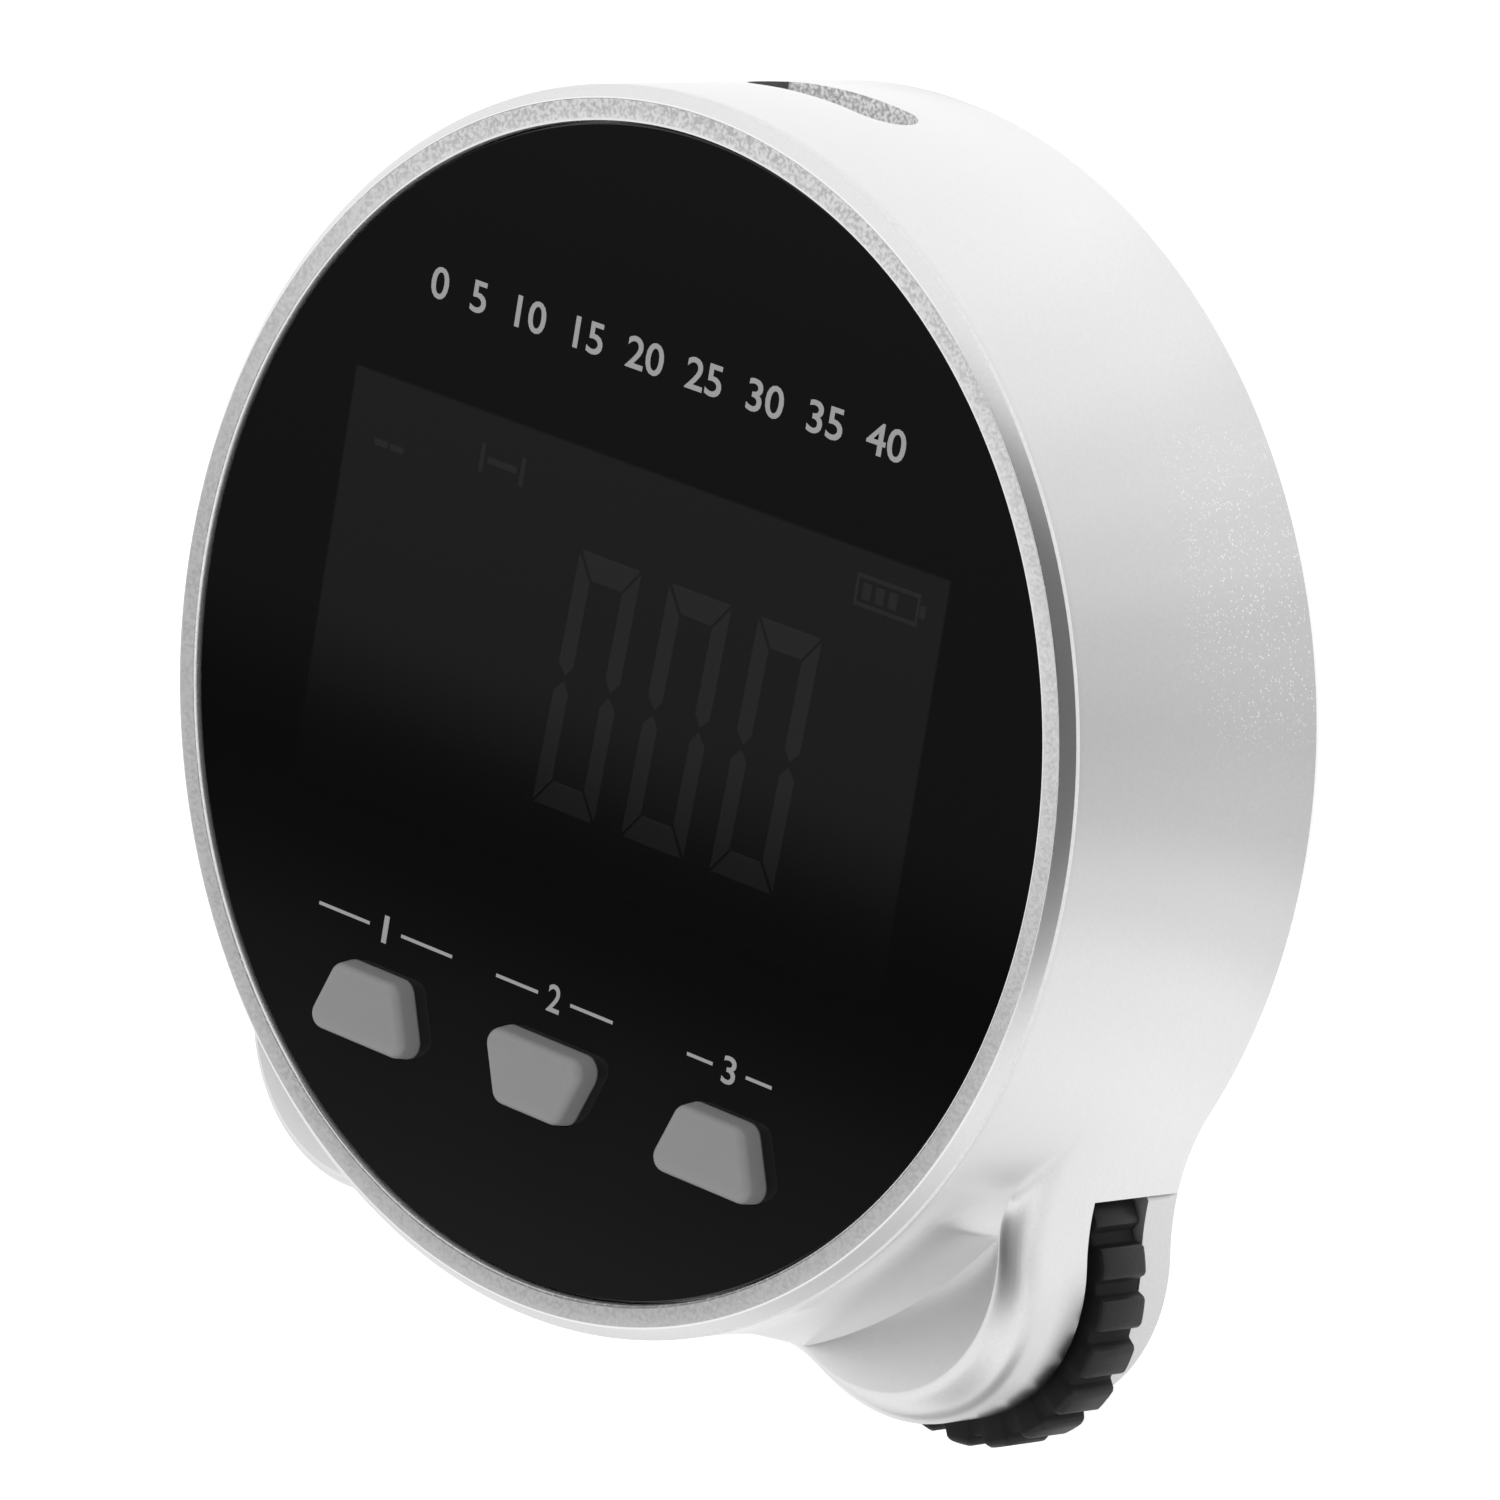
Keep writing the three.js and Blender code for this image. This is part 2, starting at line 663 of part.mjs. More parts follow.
// The tray that holds the cells, backs the board and carries the encoder's upper bearing.
function batteryTray() {
  const outerX = trayHalfX + trayWall;
  const lowZ = coverThickness + seatGap;
  let tray = bar(roofRadius, roofZ, boardZ, 0, 0, bodySteps);
  tray = tray.intersect(block([-bodyRadius, -bodyRadius, 0], [bodyRadius, roofTopY, bodyDepth]));
  for (const [x, y] of screwPlaces) {
    tray = tray.subtract(bar(postRadius + looseGap, roofZ - overrun, boardZ + overrun, x, y));
  }
  const walls = block([-outerX, trayLowY - trayWall, lowZ], [outerX, trayHighY + trayWall, boardZ]);
  tray = tray.add(walls);
  tray = tray.subtract(block([-trayHalfX, trayLowY, lowZ - overrun], [trayHalfX, trayHighY, roofZ]));
  for (const [x, y] of boardScrewPlaces) {
    tray = tray.add(bar(bossRadius, roofZ - bossLength, boardZ, x, y));
  }
  for (const [x, y] of boardScrewPlaces) {
    const endZ = boardTopZ - boardScrewLength - fitGap;
    tray = tray.subtract(bar(boardScrewRadius + fitGap, endZ, boardZ + overrun, x, y));
  }
  const [encoderX, encoderY] = encoderPlace();
  tray = tray.subtract(bar(shaftRadius + runGap, roofZ - overrun, boardZ + overrun, encoderX, encoderY));
  const window = new THREE.BoxGeometry(
    sensorLength + looseGap * 2,
    sensorWidth + looseGap * 2,
    trayRoof + overrun * 2,
  );
  window.translate(-sensorOffset(), 0, (roofZ + boardZ) / 2);
  window.rotateZ(rollerAngle);
  window.translate(encoderX, encoderY, 0);
  tray = tray.subtract(solidOf(window));
  for (const side of [-1, 1]) {
    for (const y of contactRows()) {
      const near = side * (trayHalfX - contactThickness - looseGap);
      const far = side * (trayHalfX + looseGap / 2);
      const half = tabWidth / 2 + looseGap;
      const low = [Math.min(near, far), y - half, roofZ - overrun];
      tray = tray.subtract(block(low, [Math.max(near, far), y + half, boardZ + overrun]));
    }
  }
  return tray;
}

// The two cells' centre lines, upper one first.
function contactRows() {
  return [cellPairY + cellPitch / 2, cellPairY - cellPitch / 2];
}

// A dry cell along X about its own middle, with its nub at +X.
function cell() {
  const can = barX(cellDiameter / 2, -cellHalfLength, cellHalfLength - nubLength, 0, 0);
  return can.add(barX(nubRadius, cellHalfLength - nubLength * 2, cellHalfLength, 0, 0));
}

// A flat end contact with a tab up to the board and, where a nub meets it, a raised pad. It faces +X.
function endContact(rows, padRow) {
  const lowZ = cellAxisZ - contactHeight / 2;
  const highZ = cellAxisZ + contactHeight / 2;
  const half = contactWidth / 2;
  const lowY = Math.min(...rows) - half;
  const highY = Math.max(...rows) + half;
  const back = -trayHalfX + seatGap;
  const front = back + contactThickness;
  const tab = tabWidth / 2;
  let plate = block([back, lowY, lowZ], [front, highY, highZ]);
  plate = plate.add(block([back, rows[0] - tab, highZ - seatGap], [front, rows[0] + tab, boardZ - seatGap]));
  if (padRow !== undefined) {
    const padEnd = -cellHalfLength - seatGap;
    plate = plate.add(barX(nubRadius - looseGap, back + seatGap, padEnd, padRow, cellAxisZ));
  }
  return plate;
}

// A conical coil spring along X, from the contact at -X to the flat end of a cell.
class SpringCurve extends THREE.Curve {
  constructor(length) {
    super();
    this.length = length;
  }

  getPoint(t, target = new THREE.Vector3()) {
    const turn = t * springTurns * Math.PI * 2;
    const radius = THREE.MathUtils.lerp(springRadius, springTipRadius, t);
    return target.set(this.length * t, radius * Math.cos(turn), radius * Math.sin(turn));
  }
}

function coilSpring() {
  const low = -trayHalfX + seatGap + contactThickness + springWire;
  const high = -cellHalfLength - springWire;
  const lastSide = Math.PI * 2 * (1 - 1 / springSides);
  const section = new THREE.Shape(arc(new THREE.Vector2(), springWire / 2, 0, lastSide, springSides - 1));
  const geometry = new THREE.ExtrudeGeometry(section, {
    steps: springTurns * springTurnSteps,
    bevelEnabled: false,
    extrudePath: new SpringCurve(high - low),
  });
  geometry.translate(low, 0, 0);
  return solidOf(geometry);
}

// The back plate with the door's opening, hinge notches, screw seats and the lug that closes the right foot.
function backCover() {
  const lugRadius = pocketRadius - fitGap;
  let cover = bar(coverRadius, 0, coverThickness, 0, 0, bodySteps);
  const lug = skin().intersect(bar(lugRadius, 0, lugThickness, rollerX, rollerY, roundSteps * 2));
  cover = cover.add(lug);
  cover = cover.subtract(bar(bushRadius + seatGap, axleEndWall, lugThickness + overrun, rollerX, rollerY));
  for (const [x, y] of screwPlaces) {
    cover = cover.subtract(bar(screwHeadRadius + fitGap, -overrun, screwHeadHeight + seatGap * 2, x, y));
    cover = cover.subtract(bar(screwRadius + fitGap, 0, coverThickness + overrun, x, y));
  }
  const halfX = trayHalfX + looseGap;
  const lowY = trayLowY - looseGap;
  const highY = trayHighY + looseGap;
  cover = cover.subtract(block([-halfX, lowY, -overrun], [halfX, highY, coverThickness + overrun]));
  const pinHalf = doorPinRadius + looseGap;
  const reachX = halfX + doorPinLength;
  const hingeY = doorHingeY();
  const pinLow = [-reachX, hingeY - pinHalf, doorHinge - pinHalf];
  cover = cover.subtract(block(pinLow, [reachX, hingeY + pinHalf, coverThickness + overrun]));
  const notch = bar(notchRadius, -overrun, notchDepth, 0, highY);
  const notchLow = [-notchRadius, highY - notchRadius, -overrun];
  const notchHigh = [notchRadius, highY + notchRadius / 2, notchDepth];
  return cover.subtract(notch.intersect(block(notchLow, notchHigh)));
}

function doorHingeY() {
  return trayLowY + doorHinge;
}

// The battery door: a flat lid whose lower edge is rounded about two short hinge pins.
function batteryDoor() {
  const hingeY = doorHingeY();
  const plate = block([-trayHalfX, hingeY, 0], [trayHalfX, trayHighY, doorThickness]);
  const edge = barX(doorThickness / 2, -trayHalfX, trayHalfX, hingeY, doorThickness / 2);
  const pinX = trayHalfX + looseGap + doorPinLength - fitGap;
  return plate.add(edge).add(barX(doorPinRadius, -pinX, pinX, hingeY, doorHinge));
}

// A round-head screw along Z about its own axis, its head's face at the given height and its tip above.
function screw(headRadius, headHeight, shankRadius, length) {
  const head = bar(headRadius, 0, headHeight);
  const shank = bar(shankRadius, headHeight - seatGap, headHeight + length, 0, 0, roundSteps / 2);
  const half = driveSlotLength / 2;
  const thin = driveSlotWidth / 2;
  const slotA = block([-half, -thin, -overrun], [half, thin, driveSlotDepth]);
  const slotB = block([-thin, -half, -overrun], [thin, half, driveSlotDepth]);
  return head.add(shank).subtract(slotA.add(slotB));
}

// The roller's outline: block teeth with sloping flanks.
function toothedOutline(radius, count, depth, dutyShare, rootShare) {
  const points = [];
  const pitch = (Math.PI * 2) / count;
  for (let i = 0; i < count; i += 1) {
    const middle = pitch * i;
    const tip = (pitch * dutyShare) / 2;
    const root = tip + pitch * rootShare;
    const places = [
      [-root, radius - depth],
      [-tip, radius],
      [0, radius],
      [tip, radius],
      [root, radius - depth],
    ];
    places.forEach(([offset, r]) => points.push([middle + offset, r]));
  }
  return points.map(([turn, r]) => new THREE.Vector2(r * Math.cos(turn), r * Math.sin(turn)));
}

function rollerTyre() {
  const ring = (z, inset) =>
    toothedOutline(rollerRadius - inset, toothCount, toothDepth, toothDutyShare, toothRootShare).map(
      (point) => new THREE.Vector3(point.x, point.y, z),
    );
  const tyre = loft([
    ring(0, tyreChamfer),
    ring(tyreChamfer, 0),
    ring(rollerWidth - tyreChamfer, 0),
    ring(rollerWidth, tyreChamfer),
  ]);
  return tyre.subtract(bar(hubRadius + seatGap, -overrun, rollerWidth + overrun));
}

function rollerHub() {
  let hub = bar(hubRadius, 0, rollerWidth);
  hub = hub.subtract(bar(axleRadius + seatGap, -overrun, rollerWidth + overrun));
  for (let i = 0; i < hubHoleCount; i += 1) {
    const turn = (Math.PI * 2 * i) / hubHoleCount;
    const x = hubRingRadius * Math.cos(turn);
    const y = hubRingRadius * Math.sin(turn);
    hub = hub.subtract(bar(hubHoleRadius, -overrun, rollerWidth + overrun, x, y, roundSteps / 2));
  }
  return hub;
}

function axleBush(lowZ, highZ) {
  const bore = bar(axleRadius + runGap, lowZ - overrun, highZ + overrun);
  return bar(bushRadius, lowZ, highZ).subtract(bore);
}

// A spur gear about its own axis, with a tooth towards +X.
function spurGear(teeth, boreRadius) {
  const pitchRadius = (gearModule * teeth) / 2;
  const tipRadius = pitchRadius + gearModule * addendumShare;
  const rootRadius = pitchRadius - gearModule * dedendumShare;
  const pitch = (Math.PI * 2) / teeth;
  const flankShares = [0.4, 0.22, 0.12];
  const radii = [rootRadius, pitchRadius, tipRadius];
  const points = [];
  for (let i = 0; i < teeth; i += 1) {
    const rising = radii.map((r, level) => [pitch * (i - flankShares[level]), r]);
    const falling = radii.map((r, level) => [pitch * (i + flankShares[level]), r]).reverse();
    for (const [turn, r] of [...rising, ...falling]) {
      points.push(new THREE.Vector2(r * Math.cos(turn), r * Math.sin(turn)));
    }
  }
  const gear = prism(points, gearZ, gearTopZ).add(
    bar(boreRadius + gearCollar, gearTopZ - seatGap, gearTopZ + collarHeight),
  );
  return gear.subtract(bar(boreRadius + seatGap, gearZ - overrun, gearTopZ + collarHeight + overrun));
}

function encoderDisc() {
  let disc = bar(discRadius, discZ, discTopZ);
  disc = disc.subtract(bar(shaftRadius + seatGap, discZ - overrun, discTopZ + overrun));
  for (let i = 0; i < discSlotCount; i += 1) {
    const slot = new THREE.BoxGeometry(discSlotLength, discSlotWidth, discThickness + overrun);
    slot.translate(discRadius - discRim - discSlotLength / 2, 0, (discZ + discTopZ) / 2);
    slot.rotateZ((Math.PI * 2 * i) / discSlotCount);
    disc = disc.subtract(solidOf(slot));
  }
  return disc;
}

// How far the light gate's middle lies from the encoder's axis.
function sensorOffset() {
  return discRadius - sensorReach + sensorLength / 2;
}

// The light gate: a block on the board's underside, open towards the disc's edge. It faces +X.
function lightGate() {
  const near = sensorLength / 2;
  const half = sensorWidth / 2;
  const lowZ = discZ - looseGap - sensorArm;
  const bodyBlock = block([-near, -half, lowZ], [near, half, boardZ]);
  const mouth = near - sensorReach - looseGap * 2;
  const gapLow = [mouth, -half - overrun, discZ - looseGap];
  const gapHigh = [near + overrun, half + overrun, discTopZ + looseGap];
  return bodyBlock.subtract(block(gapLow, gapHigh));
}

// A named piece from a solid.
function piece(name, solid, finish) {
  const { vertProperties, triVerts } = solid.getMesh();
  const geometry = new THREE.BufferGeometry();
  geometry.setAttribute('position', new THREE.BufferAttribute(new Float32Array(vertProperties), 3));
  geometry.setIndex(new THREE.BufferAttribute(new Uint32Array(triVerts), 1));
  const mesh = new THREE.Mesh(geometry, new THREE.MeshStandardMaterial(finishes[finish]));
  mesh.name = name;
  return mesh;
}

// A group of pieces about one place in plan.
function placed(x, y, ...pieces) {
  const group = new THREE.Group();
  group.position.set(x, y, 0);
  group.add(...pieces);
  return group;
}

function shellGroup() {
  const group = new THREE.Group();
  group.add(piece('housing', housing(), 'silver'));
  group.add(piece('front_lens', frontLens(), 'gloss'));
  group.add(piece('lens_adhesive', lensAdhesive(), 'adhesive'));
  group.add(piece('back_cover', backCover(), 'silverPlastic'));
  group.add(piece('battery_door', batteryDoor(), 'silverPlastic'));
  const pinHalf = slotWidth / 2 + slotWall / 2;
  const strapPin = bar(strapPinRadius, slotZ - pinHalf + seatGap, slotZ + pinHalf + slotWall / 2);
  group.add(placed(0, bodyRadius - strapPinInset, piece('strap_pin', strapPin, 'steel')));
  screwPlaces.forEach(([x, y], i) => {
    const coverScrew = piece(
      `cover_screw_${i + 1}`,
      screw(screwHeadRadius, screwHeadHeight, screwRadius, screwLength),
      'steel',
    );
    coverScrew.position.z = seatGap;
    group.add(placed(x, y, coverScrew));
  });
  return group;
}

function displayGroup() {
  const group = new THREE.Group();
  group.add(piece('lcd_glass', lcdGlass(), 'glass'));
  group.add(piece('lcd_backlight', backlight(), 'backlight'));
  group.add(piece('zebra_strip', zebraStrip(), 'rubber'));
  group.add(piece('main_board', mainBoard(), 'board'));
  group.add(piece('controller_chip', controllerChip(), 'chip'));
  group.add(piece('crystal', crystal(), 'steel'));
  boardScrewPlaces.forEach(([x, y], i) => {
    const solid = screw(boardScrewHeadRadius, boardScrewHeadHeight, boardScrewRadius, boardScrewLength);
    const boardScrew = piece(`board_screw_${i + 1}`, solid, 'steel');
    boardScrew.rotation.x = Math.PI;
    boardScrew.position.z = boardTopZ + boardScrewHeadHeight + seatGap / 2;
    group.add(placed(x, y, boardScrew));
  });
  return group;
}

function keyGroup() {
  const group = new THREE.Group();
  for (const { name, x, turnedOver } of keyPlaces) {
    const cap = piece(`key_${name}`, keyCap(turnedOver), 'keyGrey');
    const keySwitchPiece = piece(`key_switch_${name}`, keySwitch(), 'blackPlastic');
    group.add(placed(x, keyRowY, cap, keySwitchPiece));
  }
  return group;
}

function powerGroup() {
  const [upper, lower] = contactRows();
  const group = new THREE.Group();
  group.add(piece('battery_tray', batteryTray(), 'blackPlastic'));
  const upperCell = piece('cell_upper', cell(), 'cell');
  upperCell.position.set(0, upper, cellAxisZ);
  const lowerCell = piece('cell_lower', cell(), 'cell');
  lowerCell.position.set(0, lower, cellAxisZ);
  lowerCell.rotation.z = Math.PI;
  group.add(upperCell, lowerCell);
  group.add(piece('contact_bridge', endContact([upper, lower], lower), 'steel'));
  const bridgeSpring = piece('spring_bridge', coilSpring(), 'steel');
  bridgeSpring.position.set(0, upper, cellAxisZ);
  group.add(bridgeSpring);
  const rightEnd = new THREE.Group();
  rightEnd.rotation.z = Math.PI;
  rightEnd.add(piece('contact_plus', endContact([-upper], -upper), 'steel'));
  rightEnd.add(piece('contact_minus', endContact([-lower]), 'steel'));
  const minusSpring = piece('spring_minus', coilSpring(), 'steel');
  minusSpring.position.set(0, -lower, cellAxisZ);
  rightEnd.add(minusSpring);
  group.add(rightEnd);
  return group;
}

function rollerGroup() {
  const tyre = piece('roller_tyre', rollerTyre(), 'rubber');
  tyre.rotation.z = toothTurn;
  tyre.position.z = rollerZ;
  const hub = piece('roller_hub', rollerHub(), 'whitePlastic');
  hub.position.z = rollerZ;
  const axle = piece('roller_axle', bar(axleRadius, axleEndWall + fitGap, gearTopZ + axleNose), 'steel');
  const gear = piece('drive_gear', spurGear(driveTeeth, axleRadius), 'whitePlastic');
  gear.rotation.z = rollerAngle + Math.PI;
  const backBush = piece('axle_bush_back', axleBush(axleEndWall + seatGap, lugThickness), 'brass');
  const frontBush = piece('axle_bush_front', axleBush(pocketTopZ, webTopZ), 'brass');
  return placed(rollerX, rollerY, tyre, hub, axle, gear, backBush, frontBush);
}

function encoderGroup() {
  const [x, y] = encoderPlace();
  const shaft = piece('encoder_shaft', bar(shaftRadius, webTopZ - shaftSink, boardZ - seatGap), 'steel');
  const pinion = piece('encoder_pinion', spurGear(pinionTeeth, shaftRadius), 'whitePlastic');
  pinion.rotation.z = rollerAngle + Math.PI / pinionTeeth;
  const disc = piece('encoder_disc', encoderDisc(), 'blackPlastic');
  const gate = piece('light_gate', lightGate(), 'blackPlastic');
  gate.rotation.z = rollerAngle;
  gate.position.set(-sensorOffset() * Math.cos(rollerAngle), -sensorOffset() * Math.sin(rollerAngle), 0);
  return placed(x, y, shaft, pinion, disc, gate);
}

const measuringWheel = new THREE.Group();
measuringWheel.position.y = axisY;
measuringWheel.add(shellGroup(), displayGroup(), keyGroup(), powerGroup(), rollerGroup(), encoderGroup());

export default measuringWheel;
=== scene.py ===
"""Surface pieces, finishes, lights and camera for the round measuring wheel.

The part's own frame holds throughout: the gauge lies on its back, +Z comes out of the display and +Y points to the
display's top. Shapes are given in millimetres and made in metres.
"""

import json
import logging
import math
from collections.abc import Iterable, Mapping, Sequence
from dataclasses import dataclass, field
from enum import Enum

import bmesh
import bpy
from mathutils import Euler, Matrix, Vector


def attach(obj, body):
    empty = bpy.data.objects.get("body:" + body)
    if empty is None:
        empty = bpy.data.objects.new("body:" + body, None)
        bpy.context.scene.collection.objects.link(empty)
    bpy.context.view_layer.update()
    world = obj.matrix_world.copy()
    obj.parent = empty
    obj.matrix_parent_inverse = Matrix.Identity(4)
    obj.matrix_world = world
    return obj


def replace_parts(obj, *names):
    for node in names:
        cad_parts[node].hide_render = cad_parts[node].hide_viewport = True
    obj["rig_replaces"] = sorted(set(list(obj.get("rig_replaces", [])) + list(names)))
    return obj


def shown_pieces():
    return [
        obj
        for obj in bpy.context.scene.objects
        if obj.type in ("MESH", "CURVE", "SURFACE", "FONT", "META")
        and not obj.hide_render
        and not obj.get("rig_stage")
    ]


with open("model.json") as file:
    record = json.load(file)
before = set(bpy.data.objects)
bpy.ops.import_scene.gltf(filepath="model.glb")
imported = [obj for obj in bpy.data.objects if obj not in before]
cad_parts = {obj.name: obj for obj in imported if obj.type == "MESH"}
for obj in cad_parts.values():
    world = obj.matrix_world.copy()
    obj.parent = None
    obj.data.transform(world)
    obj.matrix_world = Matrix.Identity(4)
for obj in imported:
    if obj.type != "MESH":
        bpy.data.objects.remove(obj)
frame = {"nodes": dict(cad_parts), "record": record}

LOG = logging.getLogger("measuring_wheel")
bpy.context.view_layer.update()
MM = 0.001
QUARTER = math.pi / 2
FULL = 2 * math.pi
AXIS_Y = 0.9684
AXLE = (21.428, -25.971)
Point = tuple[float, float, float]
Flat = tuple[float, float]
Piece = bpy.types.Object
Material = bpy.types.Material
Node = bpy.types.Node
Socket = bpy.types.NodeSocket
Tree = bpy.types.NodeTree


class Body(Enum):
    """The moving bodies that a piece can ride on."""

    CASE = "case"
    ROLLER = "roller"
    DOOR = "door"
    KEY_LEFT = "key_left"
    KEY_MIDDLE = "key_middle"
    KEY_RIGHT = "key_right"


class Join(Enum):
    """How a second closed shape changes the first."""

    CUT = "DIFFERENCE"
    ADD = "UNION"
    KEEP_COMMON = "INTERSECT"


# ---- Modelling kit


def choose(*made: Piece) -> None:
    """Leaves edit mode and selects only these pieces, with the first one active.

    Args:
        made: The pieces to select. With none, nothing stays selected.
    """
    if bpy.context.object and bpy.context.object.mode != "OBJECT":
        bpy.ops.object.mode_set(mode="OBJECT")
    bpy.ops.object.select_all(action="DESELECT")
    for piece in made:
        piece.select_set(True)
    if made:
        bpy.context.view_layer.objects.active = made[0]


def raise_rings(rings: Sequence[Sequence[Point]], closed_loop: bool = False) -> Piece:
    """Draws a circle and extrudes its edge from ring to ring.

    Args:
        rings: Rings of equal count, in millimetres.
        closed_loop: Joins the last ring to the first. Otherwise both ends are filled.

    Returns:
        The closed piece, with its faces outwards.
    """
    choose()
    bpy.ops.mesh.primitive_circle_add(vertices=len(rings[0]), radius=1, fill_type="NOTHING")
    piece = bpy.context.object
    bpy.ops.object.mode_set(mode="EDIT")
    mesh = bmesh.from_edit_mesh(piece.data)
    place = mesh.verts.layers.int.new("place")
    for i, vertex in enumerate(mesh.verts):
        vertex[place] = i

    def put(ring: Sequence[Point]) -> None:
        """Moves the selected points to their places on a ring.

        Args:
            ring: The ring's points, in millimetres.
        """
        mesh = bmesh.from_edit_mesh(piece.data)
        place = mesh.verts.layers.int["place"]
        for vertex in mesh.verts:
            if vertex.select:
                vertex.co = Vector(ring[vertex[place]]) * MM
        bmesh.update_edit_mesh(piece.data)

    put(rings[0])
    if not closed_loop:
        bpy.ops.mesh.select_all(action="SELECT")
        bpy.ops.mesh.edge_face_add()
        bpy.ops.mesh.select_all(action="DESELECT")
        mesh = bmesh.from_edit_mesh(piece.data)
        for edge in mesh.edges:
            edge.select_set(True)
    for ring in [*rings[1:], *rings[:1]] if closed_loop else rings[1:]:
        bpy.ops.mesh.select_mode(type="EDGE")
        bpy.ops.mesh.extrude_edges_indiv()
        put(ring)
    if not closed_loop:
        bpy.ops.mesh.edge_face_add()
    bpy.ops.mesh.select_all(action="SELECT")
    bpy.ops.mesh.remove_doubles(threshold=1e-7)
    bpy.ops.mesh.normals_make_consistent(inside=False)
    bpy.ops.object.mode_set(mode="OBJECT")
    return piece


def turned(profile: Sequence[Flat], count: int, middle: Flat = (0.0, 0.0), closed_loop: bool = False) -> Piece:
    """Makes a round piece about an upright axis.

    Args:
        profile: Radius and height of each ring, in millimetres.
        count: Steps round.
        middle: The axis in plan.
        closed_loop: Joins the last ring to the first, as on a washer or tube.

    Returns:
        The closed piece.
    """
    circle = [(math.cos(t), math.sin(t)) for t in (FULL * i / count for i in range(count))]
    rings = [[(middle[0] + radius * c, middle[1] + radius * s, z) for c, s in circle] for radius, z in profile]
    return raise_rings(rings, closed_loop)


def joined(made: Sequence[Piece]) -> Piece:
    """Joins pieces into the first one.

    Args:
        made: The pieces, the first of which stays.

    Returns:
        The first piece, which now holds them all.
    """
    choose(*made)
    if len(made) > 1:
        bpy.ops.object.join()
    return made[0]


def box(left: float, right: float, low: float, high: float) -> list[Flat]:
    """A rectangle's corners, anticlockwise."""
    return [(left, low), (right, low), (right, high), (left, high)]


def plates(outlines: Iterable[Sequence[Flat]], low: float, high: float) -> Piece:
    """Makes flat plates of one thickness as one piece.

    Args:
        outlines: The plates' outlines, each convex or simple.
        low: Their lower face.
        high: Their upper face.

    Returns:
        The joined plates.
    """
    return joined([raise_rings([[(x, y, z) for x, y in outline] for z in (low, high)]) for outline in outlines])


def combine(piece: Piece, tool: Piece, how: Join) -> Piece:
    """Changes a piece by a closed tool shape and removes the tool.

    Args:
        piece: The piece to change.
        tool: The closed shape that cuts, joins or limits it.
        how: Which of these it does.

    Returns:
        The changed piece.
    """
    choose(piece)
    change = piece.modifiers.new("join", "BOOLEAN")
    change.operation, change.solver, change.object = how.value, "EXACT", tool
    bpy.ops.object.modifier_apply(modifier=change.name)
    bpy.data.objects.remove(tool)
    return piece


def soften(piece: Piece, width: float, segments: int = 2, angle: float = 35.0) -> Piece:
    """Rounds a piece's sharp edges by a bevel, width in millimetres.

    Args:
        piece: The piece to change.
        width: The bevel's width.
        segments: Its steps.
        angle: Edges that turn less than this, in degrees, stay as they are.

    Returns:
        The same piece.
    """
    choose(piece)
    bevel = piece.modifiers.new("soft_edges", "BEVEL")
    bevel.width, bevel.segments = width * MM, segments
    bevel.limit_method, bevel.angle_limit = "ANGLE", math.radians(angle)
    bpy.ops.object.modifier_apply(modifier=bevel.name)
    return piece


def shade(piece: Piece, angle: float = 28.0) -> Piece:
    """Shades a piece smooth across edges that turn less than the angle, in degrees.

    Args:
        piece: The piece to shade.
        angle: The limit.

    Returns:
        The same piece.
    """
    choose(piece)
    bpy.ops.object.shade_smooth_by_angle(angle=math.radians(angle))
    return piece


def settle(piece: Piece, name: str, body: Body, slot: str, materials: Sequence[Material], *stands_for: str) -> None:
    """Names and dresses a finished piece, hands it to its body and reports it.

    Args:
        piece: The piece.
        name: Its name.
        body: What it moves with.
        slot: The record's material slot. Not used.
        materials: Its materials, first the main one.
        stands_for: The part's nodes that it replaces.
    """
    piece.name = piece.data.name = name
    piece.data.materials.clear()
    for material in materials:
        piece.data.materials.append(material)
    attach(piece, body.value)
    if stands_for:
        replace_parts(piece, *stands_for)
    LOG.info("%s: %d faces", piece.name, len(piece.data.polygons))


# ---- Node graphs


def colour(value: object) -> tuple[float, float, float, float]:
    """A full colour from a grey value or three values."""
    return (value, value, value, 1.0) if isinstance(value, (int, float)) else (*value, 1.0)


